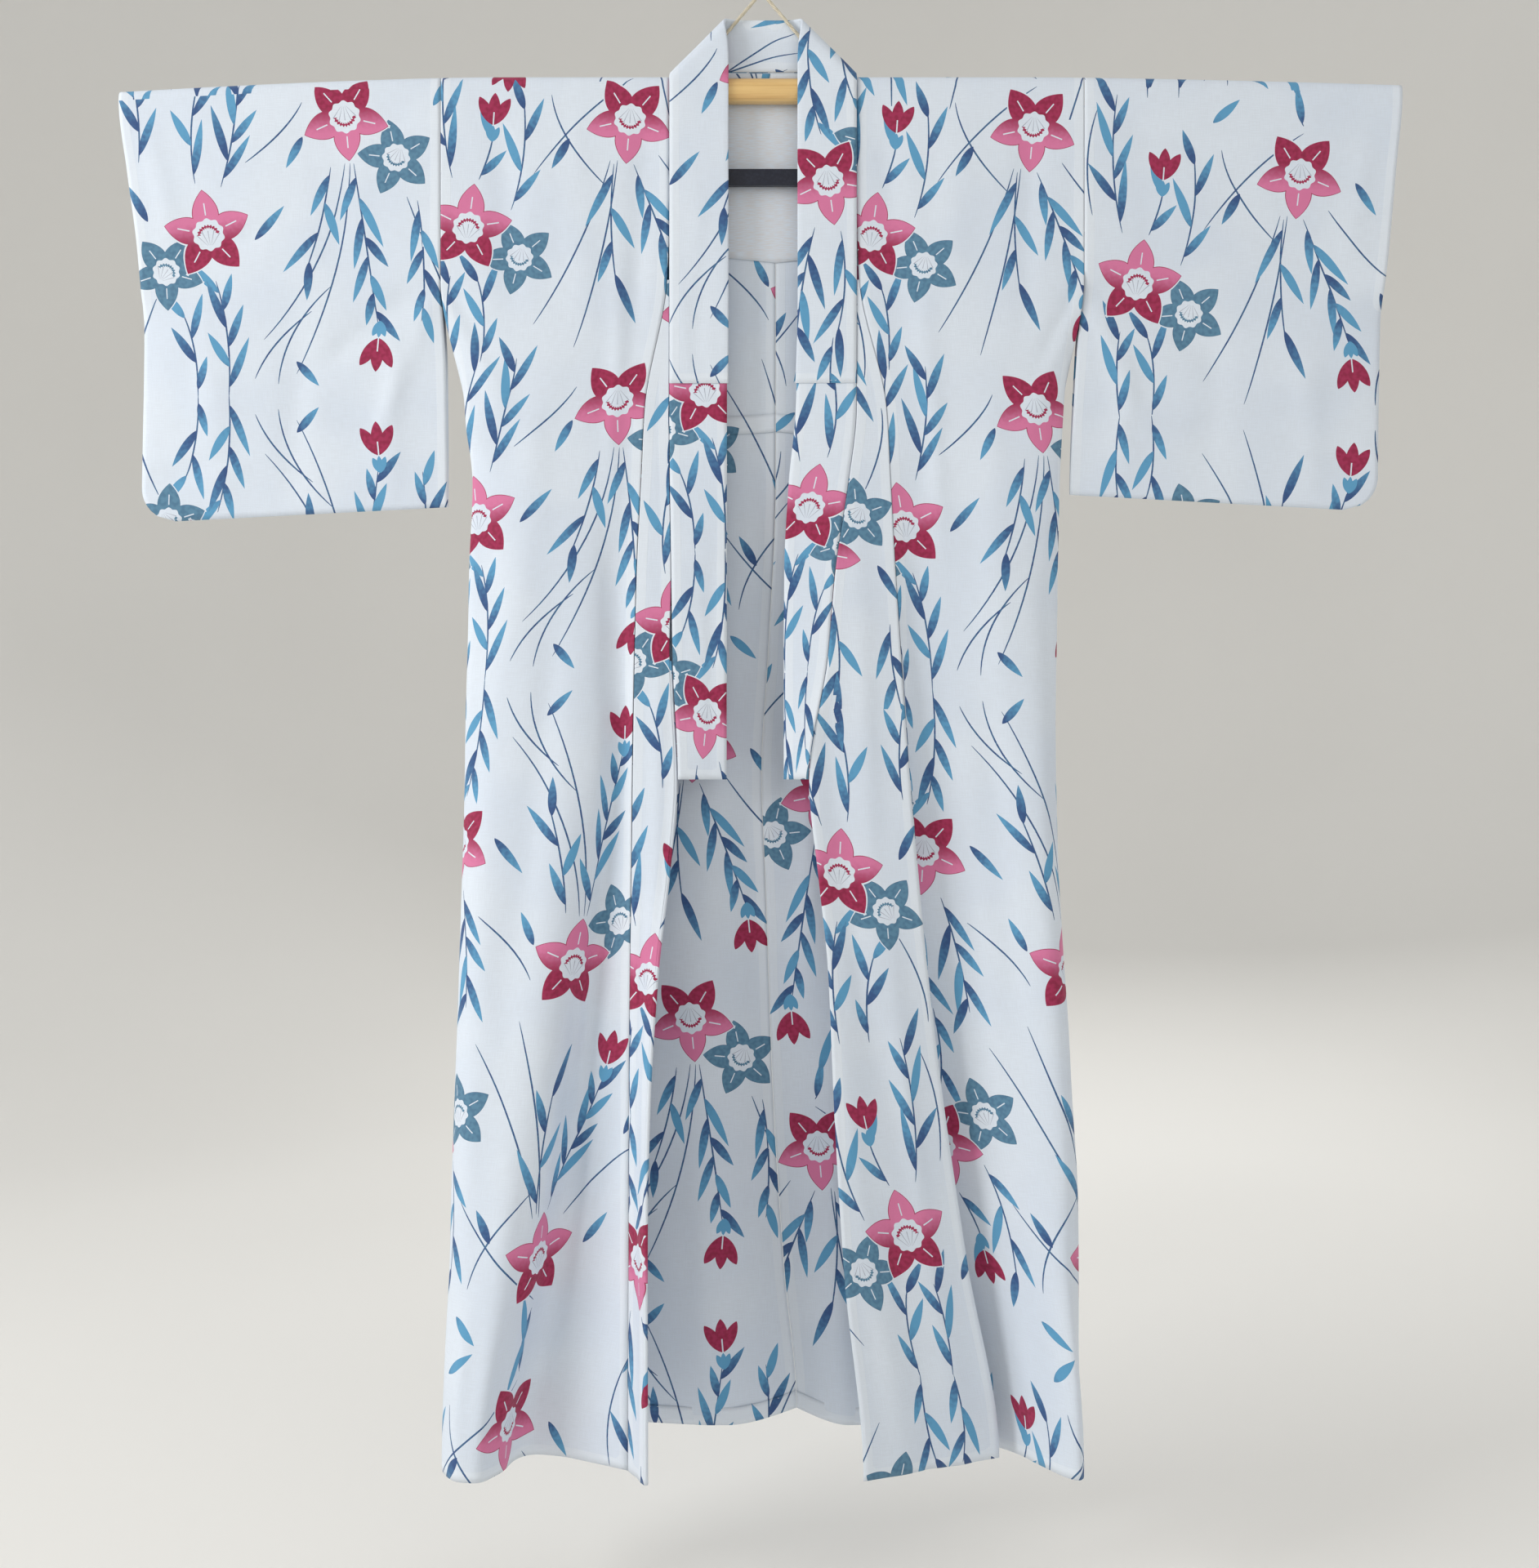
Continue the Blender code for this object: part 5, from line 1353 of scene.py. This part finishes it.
def cotton_material():
    """White plain weave cotton with the dyed print, or plain where no motif is written."""
    graph = Graph("printed cotton")
    cloth = graph.uv("Cloth")
    cloud = graph.noise(cloth, 9.0, 1.0, over="2D")
    threads = graph.noise(cloth, 1.0, 0.0, SLUB_STRETCH, "2D")
    threads += graph.noise(cloth, 1.0, 0.0, WARP_STRETCH, "2D")
    mottle = graph.ramp(graph.noise(cloth, 220.0, 0.0, over="2D"), 0.3, 0.75)
    white = graph.mix(graph.ramp(cloud, 0.3, 0.7), "cloth_color", "cloth_shade")
    white = graph.mix(graph.ramp(threads, 0.75, 1.25, 0.0, 0.22), white, "thread_shade")
    edge = graph.node("ShaderNodeAttribute", output="Fac", attribute_name="edge_distance")
    # Painted light: the cloth within the seam allowance of each sheet's edge is made lighter, standing in
    # for the doubled cotton letting less shade show through
    painted_light_over_allowance = graph.ramp(edge + cloud * (2.0 * MM), ALLOWANCE, ALLOWANCE + MM, 0.45, 0.0)
    white = graph.mix(painted_light_over_allowance, white, "cloth_doubled_painted_light")

    color = white
    stem_color = graph.mix(mottle, "stem_color", "leaf_dark")
    for k in range(STEM_LAYERS):
        run, side, size = graph.frame_of("stem%d" % k)
        share = run / size
        line = abs(side) < (share * (1.0 - share) | 0.0) ** 0.35 * STEM_WIDTH
        color = graph.mix(line, color, stem_color)
    for k, (low, high) in enumerate(LEAF_TONES):
        run, side, size = graph.frame_of("leaf%d" % k)
        share = (run / size | 0.0) ** 0.8
        blade = abs(side) < (share * (1.0 - share) * 4.0 | 0.0) * LEAF_HALF_WIDTHS[k % 2]
        tone = graph.ramp(mottle * 0.18 + share, low, high)
        color = graph.mix(blade, color, graph.mix(tone, "leaf_dark", "leaf_light"))

    bud, cup = draw_bud(graph)
    front, behind = draw_flower(graph, "crimson"), draw_flower(graph, "blue")
    free = 1.0 - front["whole"]
    crimson = graph.mix(mottle, "crimson", "crimson_deep")
    blue = graph.mix(mottle, "blue_flower", "blue_flower_deep")
    petal = graph.mix(graph.ramp(mottle * 0.06 + front["up"], -0.22, 0.38), crimson, "pink")
    for mask, paint in (
            (cup, "leaf_light"), (bud, crimson),
            (behind["whole"] * free, white), (behind["petal"] * free, blue),
            (behind["rim"] * behind["petal"] * free, "blue_flower_deep"),
            (behind["arc"] * free, blue), (behind["fan"] * free, "fan_line"),
            (front["whole"], white), (front["petal"], petal),
            (front["rim"] * front["petal"], "crimson"),
            (front["arc"], "crimson"), (front["fan"], "fan_line")):
        color = graph.mix(mask, color, paint)

    height = graph.noise(cloth, 34.0, 1.0, over="2D") + threads * 0.12
    height += graph.ramp(edge, ALLOWANCE - MM, ALLOWANCE, 0.18, 0.0)
    roughness = graph.ramp(threads, 0.6, 1.4, 0.80, 0.92)
    return graph.finish(color, roughness, height, 1.3 * MM, 0.35, Sheen_Weight=0.12, Sheen_Roughness=0.5)


def lining_material():
    graph = Graph("lining cotton")
    cloth = graph.uv("Cloth")
    slub = graph.noise(cloth, 1.0, 1.0, (90.0, 1200.0, 1.0), "2D")
    color = graph.mix(graph.ramp(slub, 0.3, 0.7), "cloth_color", "lining_shade")
    height = graph.noise(cloth, 30.0, 2.0, over="2D") + slub * 0.2
    return graph.finish(color, graph.ramp(slub, 0.3, 0.7, 0.84, 0.94), height, MM, 0.3, Sheen_Weight=0.12)


def wood_material():
    graph = Graph("varnished wood")
    place = graph.place()
    grain = graph.noise(place, 1.0, 5.0, (6.0, 150.0, 190.0))
    pores = graph.noise(place, 1.0, 2.0, (60.0, 900.0, 900.0))
    color = graph.mix(graph.ramp(grain, 0.35, 0.68), "wood_light", "wood_dark")
    color = graph.mix(graph.ramp(pores, 0.62, 0.8, 0.0, 0.4), color, "wood_dark")
    roughness = graph.ramp(grain, 0.3, 0.7, 0.30, 0.42)
    return graph.finish(color, roughness, pores, 0.2 * MM, 0.25, Coat_Weight=0.5, Coat_Roughness=0.18)


def cord_material():
    graph = Graph("cotton cord")
    fibre = graph.noise(graph.uv("Strand"), 1.0, 3.0, (60.0, 900.0, 1.0))
    color = graph.mix(graph.ramp(fibre, 0.3, 0.7), "cord_color", "cord_shade")
    return graph.finish(color, graph.ramp(fibre, 0.3, 0.7, 0.75, 0.9), fibre, 0.2 * MM, 0.4)


def fitting_material(name, base, other, roughness, metallic):
    """Finish of a small fitting: slightly uneven colour, gloss and surface."""
    graph = Graph(name)
    wear = graph.noise(graph.place(), 300.0, 4.0)
    color = graph.mix(graph.ramp(wear, 0.4, 0.75), base, other)
    rough = graph.ramp(wear, 0.3, 0.7, roughness * 0.8, roughness * 1.25)
    return graph.finish(color, rough, wear, 0.05 * MM, 0.3, Metallic=metallic)


def floor_material():
    graph = Graph("pale floor")
    wear = graph.noise(graph.place(), 0.8, 1.0)
    return graph.finish(graph.mix(graph.ramp(wear, 0.4, 0.75), FLOOR_LIGHT, FLOOR_DARK), 0.9)


@lru_cache(maxsize=None)
def material(name):
    """One shared material by name, made the first time that it is asked for."""
    if name in FITTINGS:
        return fitting_material(*FITTINGS[name])
    return {"cotton": cotton_material, "lining": lining_material, "wood": wood_material,
            "cord": cord_material, "floor": floor_material}[name]()


def colour(name, description, *default):
    """Property for a colour that a user would change."""
    return FloatVectorProperty(name=name, description=description, subtype="COLOR", default=default,
                               min=0.0, max=1.0)


class YukataLook(bpy.types.PropertyGroup):
    """Sizes and colours that a user would change."""
    sheet_wall: FloatProperty(name="Cloth thickness", description="Thickness of one layer of the cotton",
                              default=0.5 * MM, min=0.1 * MM, max=WALL, unit="LENGTH")
    sheet_lift: FloatProperty(name="Cloth lift",
                              description="How far the cloth's face lies outside the inner form",
                              default=0.95 * MM, min=0.0, max=2.0 * MM, unit="LENGTH")
    cloth_color: colour("Cloth", "White of the cotton", 0.735, 0.80, 0.885)
    cloth_shade: colour("Cloth shade", "Slightly greyer white in clouds", 0.695, 0.765, 0.865)
    # Painted lighter tone over the seam allowances, standing in for doubled cotton letting less shade show
    # through
    cloth_doubled_painted_light: colour("Doubled cloth", "Whiter cloth over the seam allowances", 0.80, 0.85, 0.905)
    thread_shade: colour("Thread shade", "Colour between the threads", 0.62, 0.66, 0.72)
    lining_shade: colour("Lining shade", "Warmer white of the lining", 0.72, 0.73, 0.76)
    crimson: colour("Crimson", "Dark petals and buds", 0.36, 0.022, 0.085)
    crimson_deep: colour("Deep crimson", "Mottling of the dark petals", 0.28, 0.014, 0.06)
    pink: colour("Pink", "Light petals", 0.68, 0.19, 0.36)
    blue_flower: colour("Blue flower", "Petals of the blue flowers", 0.105, 0.24, 0.36)
    blue_flower_deep: colour("Blue flower mottling", "Darker blue of the petals", 0.08, 0.19, 0.30)
    leaf_light: colour("Leaf light", "Light end of a leaf", 0.11, 0.34, 0.56)
    leaf_dark: colour("Leaf dark", "Dark end of a leaf", 0.035, 0.085, 0.23)
    stem_color: colour("Stems", "Stems and grass blades", 0.055, 0.15, 0.29)
    fan_line: colour("Fan lines", "Fine lines in the flowers' centres", 0.42, 0.45, 0.54)
    wood_light: colour("Wood light", "Light grain of the rod", 0.80, 0.54, 0.22)
    wood_dark: colour("Wood dark", "Dark grain of the rod", 0.66, 0.40, 0.14)
    cord_color: colour("Cord", "Light fibres of the cord", 0.72, 0.66, 0.52)
    cord_shade: colour("Cord shade", "Dark fibres of the cord", 0.52, 0.46, 0.34)


def run_lengths(points):
    """How far along a line each of its points lies."""
    lengths = [0.0]
    for a, b in zip(points, points[1:]):
        lengths.append(lengths[-1] + (b - a).length)
    return lengths


def smooth_route(route, count):
    """Points spaced along a smooth curve through the route's own points."""
    ends = [Vector(point) for point in [route[0]] + route + [route[-1]]]
    fine = []
    for k in range(1, len(ends) - 2):
        p0, p1, p2, p3 = ends[k - 1:k + 3]
        for step in range(ROUTE_STEPS):
            t = step / ROUTE_STEPS
            fine.append(0.5 * (2 * p1 + (p2 - p0) * t + (2 * p0 - 5 * p1 + 4 * p2 - p3) * t ** 2
                               + (3 * p1 - p0 - 3 * p2 + p3) * t ** 3))
    fine.append(ends[-1])
    lengths = run_lengths(fine)
    points = []
    for k in range(count):
        target = lengths[-1] * k / (count - 1)
        index = 0
        while index < len(fine) - 2 and lengths[index + 1] < target:
            index += 1
        share = (target - lengths[index]) / (lengths[index + 1] - lengths[index])
        place = fine[index].lerp(fine[index + 1], share)
        points.append(Vector((place.x * MM, 0.0, place.y * MM)))
    return points


class YUKATA_OT_cord(bpy.types.Operator):
    """Lay the twisted hanging cord from one ferrule over the hook's place to the other"""
    bl_idname = "yukata.cord"
    bl_label = "Hanging cord"

    def execute(self, context):
        route = smooth_route(CORD_ROUTE, CORD_POINTS)
        lengths = run_lengths(route)
        last = len(route) - 1
        bm = bmesh.new()
        strand = bm.loops.layers.uv.new("Strand")
        places = {}
        for vert, i, j in grid(bm, CORD_SIDES, last):
            ahead = (route[min(last, j + 1)] - route[max(0, j - 1)]).normalized()
            side = Vector((0.0, 1.0, 0.0))
            angle = 2.0 * math.pi * i / CORD_SIDES
            lay = CORD_STRANDS / 2.0 * angle - math.pi * lengths[j] / CORD_LAY
            radius = CORD_RADIUS * (1.0 - CORD_GROOVE * (1.0 - abs(math.cos(lay))))
            vert.co = route[j] + (side * math.cos(angle) + ahead.cross(side) * math.sin(angle)) * radius
            places[vert] = (lengths[j], i / CORD_SIDES * CORD_GIRTH + lengths[j] * 0.3)
        for face in bm.faces:
            for loop in face.loops:
                loop[strand].uv = places[loop.vert]
        bmesh.ops.remove_doubles(bm, verts=bm.verts[:], dist=0.005 * MM)
        ends = [edge for edge in bm.edges if edge.is_boundary]
        bmesh.ops.holes_fill(bm, edges=ends, sides=CORD_SIDES + 2)
        bmesh.ops.recalc_face_normals(bm, faces=bm.faces[:])
        item = piece("twisted_cord", bm, "cord")
        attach(item, ROOT)
        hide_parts("hang_cord")
        return {"FINISHED"}


class YUKATA_OT_hanger(bpy.types.Operator):
    """Give the rod, the lower bar and their fittings their finishes"""
    bl_idname = "yukata.hanger"
    bl_label = "Hanger"

    def execute(self, context):
        for node, finish in HANGER_FINISHES.items():
            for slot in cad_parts[node].material_slots:
                slot.material = material(finish)
        return {"FINISHED"}


class YUKATA_OT_body(bpy.types.Operator):
    """Lay the two body lengths, each in one piece over the shoulder"""
    bl_idname = "yukata.body"
    bl_label = "Body lengths"

    def execute(self, context):
        for side in SIDES:
            finish_sheet(lay_body(side), "body_length_" + side, "body_" + side)
        return {"FINISHED"}


class YUKATA_OT_sleeves(bpy.types.Operator):
    """Lay the two square cut sleeves"""
    bl_idname = "yukata.sleeves"
    bl_label = "Sleeves"

    def execute(self, context):
        for side in SIDES:
            finish_sheet(lay_sleeve(side), "sleeve_%s_tube" % side, "sleeve_" + side,
                         rests_on=["rod_arm_" + side])
        return {"FINISHED"}


class YUKATA_OT_overlaps(bpy.types.Operator):
    """Lay the overlap panels of the two fronts"""
    bl_idname = "yukata.overlaps"
    bl_label = "Overlap panels"

    def execute(self, context):
        for side, lay in (("right", lay_right_overlap), ("left", lay_left_overlap)):
            finish_sheet(lay(), "overlap_%s_panel" % side, "overlap_" + side,
                         rests_on=["body_length_" + side])
        return {"FINISHED"}


class YUKATA_OT_collar(bpy.types.Operator):
    """Lay the collar band and the second collar sewn round it"""
    bl_idname = "yukata.collar"
    bl_label = "Collar"

    def execute(self, context):
        finish_sheet(lay_collar(), "collar_band", "collar", lift=BAND_LIFT, wall=COLLAR_SHEET_WALL,
                     rests_on=["body_length_right", "body_length_left"])
        finish_sheet(lay_collar_cover(), "collar_cover_band", "collar_cover", lift=BAND_LIFT, held="folded",
                     rests_on=["collar_band"])
        return {"FINISHED"}


class YUKATA_OT_inside(bpy.types.Operator):
    """Lay the shoulder lining, the tuck and the turned up hem inside the back"""
    bl_idname = "yukata.inside"
    bl_label = "Inside of the back"

    def execute(self, context):
        finish_sheet(lay_lining(), "shoulder_lining_sheet", "shoulder_lining", cut="", lift=BAND_LIFT)
        for side in SIDES:
            facts = {"cut": "body_" + side, "held": "folded", "rests_on": ["body_length_" + side]}
            tuck = lay_back_band(side, TUCK_TOP_Z, TUCK_END_Z, TUCK_START_SHARE, TUCK_INSET)
            finish_sheet(tuck, "tuck_band_" + side, "tuck_" + side, lift=BAND_LIFT, **facts)
            hem = lay_back_band(side, FRONT_HEM_Z + HEM_TURN_UP, FRONT_HEM_Z, HEM_START_SHARE, HEM_INSET)
            finish_sheet(hem, "hem_turn_up_" + side, None, lift=HEM_LIFT, wall=HEM_WALL, **facts)
        return {"FINISHED"}


class YUKATA_OT_stitches(bpy.types.Operator):
    """Sew the small stitches that hold the second collar's ends and the back hem"""
    bl_idname = "yukata.stitches"
    bl_label = "Stitches"

    def execute(self, context):
        for side in SIDES:
            count = COVER_STITCHES - 1
            shares = [0.04 + 0.92 * k / count for k in range(count + 1)]
            self.row("collar_cover_stitches_" + side, [
                collar_point(side, COVER_END_Z + 3.0 * MM, COLLAR_WIDTH * share, 2.0 * MM)
                for share in shares])
            count = HEM_STITCHES - 1
            shares = [0.04 + 0.93 * k / count for k in range(count + 1)]
            self.row("hem_stitches_" + side, [
                back_point(side, FRONT_HEM_Z + HEM_TURN_UP - 1.5, share) - Vector((0.0, 0.5 * MM, 0.0))
                for share in shares])
        return {"FINISHED"}

    def row(self, name, points):
        """Small level stitches at the given points, standing out a little towards the viewer."""
        bm = bmesh.new()
        for point in points:
            for vert in bmesh.ops.create_cube(bm, size=1.0)["verts"]:
                x, y, z = vert.co
                narrow = STITCH_TOP_SHARE if z > 0.0 else 1.0
                vert.co = point + Vector((x * narrow * STITCH_LENGTH, -z * STITCH_HEIGHT,
                                          -y * narrow * STITCH_WIDTH))
        bmesh.ops.recalc_face_normals(bm, faces=bm.faces[:])
        item = piece(name, bm, "thread", smooth=False)
        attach(item, ROOT)


class YUKATA_OT_stage(bpy.types.Operator):
    """Set the pale round stage, the soft lights and the camera"""
    bl_idname = "yukata.stage"
    bl_label = "Stage and camera"

    def execute(self, context):
        profile = [(0.0, 0.0), (STAGE_FLAT, 0.0)]
        for k in range(1, STAGE_STEPS + 1):
            angle = math.pi / 2.0 * k / STAGE_STEPS
            profile.append((STAGE_FLAT + STAGE_CURVE * math.sin(angle),
                            STAGE_CURVE * (1.0 - math.cos(angle))))
        profile.append((STAGE_FLAT + STAGE_CURVE, STAGE_HEIGHT))
        floor_z = CAD_BOX[0].z - STAGE_DROP
        bm = bmesh.new()
        verts = [bm.verts.new((r, 0.0, floor_z + h)) for r, h in profile]
        edges = [bm.edges.new(pair) for pair in zip(verts, verts[1:])]
        bmesh.ops.spin(bm, geom=verts + edges, cent=(0, 0, 0), axis=(0, 0, 1), angle=2.0 * math.pi, steps=64,
                       use_merge=True)
        bmesh.ops.remove_doubles(bm, verts=bm.verts[:], dist=MM)
        bmesh.ops.recalc_face_normals(bm, faces=bm.faces[:])
        if max(bm.faces, key=lambda face: face.calc_area()).normal.z < 0.0:
            bmesh.ops.reverse_faces(bm, faces=bm.faces[:])
        piece("stage_floor", bm, "floor")
        for name, place, size, power in LIGHTS:
            data = bpy.data.lights.new(name, "AREA")
            data.size = size
            data.energy = power
            lamp = link_object(name, data)
            lamp.location = place
            lamp.rotation_euler = (LIGHT_TARGET - Vector(place)).to_track_quat("-Z", "Y").to_euler()
            lamp.visible_camera = False
        data = bpy.data.cameras.new("photo_camera")
        data.sensor_width = 36.0
        data.lens = data.sensor_width * PHOTO_DISTANCE / PHOTO_HEIGHT
        camera = link_object("photo_camera", data)
        camera.location = (PHOTO_X, -PHOTO_DISTANCE, PHOTO_Z)
        camera.rotation_euler = (math.radians(90.0), 0.0, 0.0)
        context.scene.camera = camera
        world = bpy.data.worlds.new("studio")
        world.use_nodes = True
        background = world.node_tree.nodes["Background"]
        background.inputs["Color"].default_value = (*WORLD_COLOR, 1.0)
        background.inputs["Strength"].default_value = WORLD_STRENGTH
        context.scene.world = world
        context.scene.view_settings.view_transform = "Standard"
        return {"FINISHED"}


class YUKATA_PT_panel(bpy.types.Panel):
    """Lists the robe's pieces and its colours"""
    bl_label = "Yukata"
    bl_idname = "YUKATA_PT_panel"
    bl_space_type = "VIEW_3D"
    bl_region_type = "UI"
    bl_category = "Yukata"

    def draw(self, context):
        for step in STEPS:
            self.layout.operator(step.bl_idname)
        look = context.scene.yukata_look
        for name in YukataLook.__annotations__:
            self.layout.prop(look, name)


STEPS = (YUKATA_OT_stage, YUKATA_OT_cord, YUKATA_OT_hanger, YUKATA_OT_body, YUKATA_OT_sleeves,
         YUKATA_OT_overlaps, YUKATA_OT_collar, YUKATA_OT_inside, YUKATA_OT_stitches)
CLASSES = (YukataLook, *STEPS, YUKATA_PT_panel)


def register():
    for item in CLASSES:
        bpy.utils.register_class(item)
    bpy.types.Scene.yukata_look = PointerProperty(type=YukataLook)


def unregister():
    del bpy.types.Scene.yukata_look
    for item in reversed(CLASSES):
        bpy.utils.unregister_class(item)


def main():
    register()
    for step in STEPS:
        group, name = step.bl_idname.split(".")
        getattr(getattr(bpy.ops, group), name)()


if __name__ == "__main__":
    main()
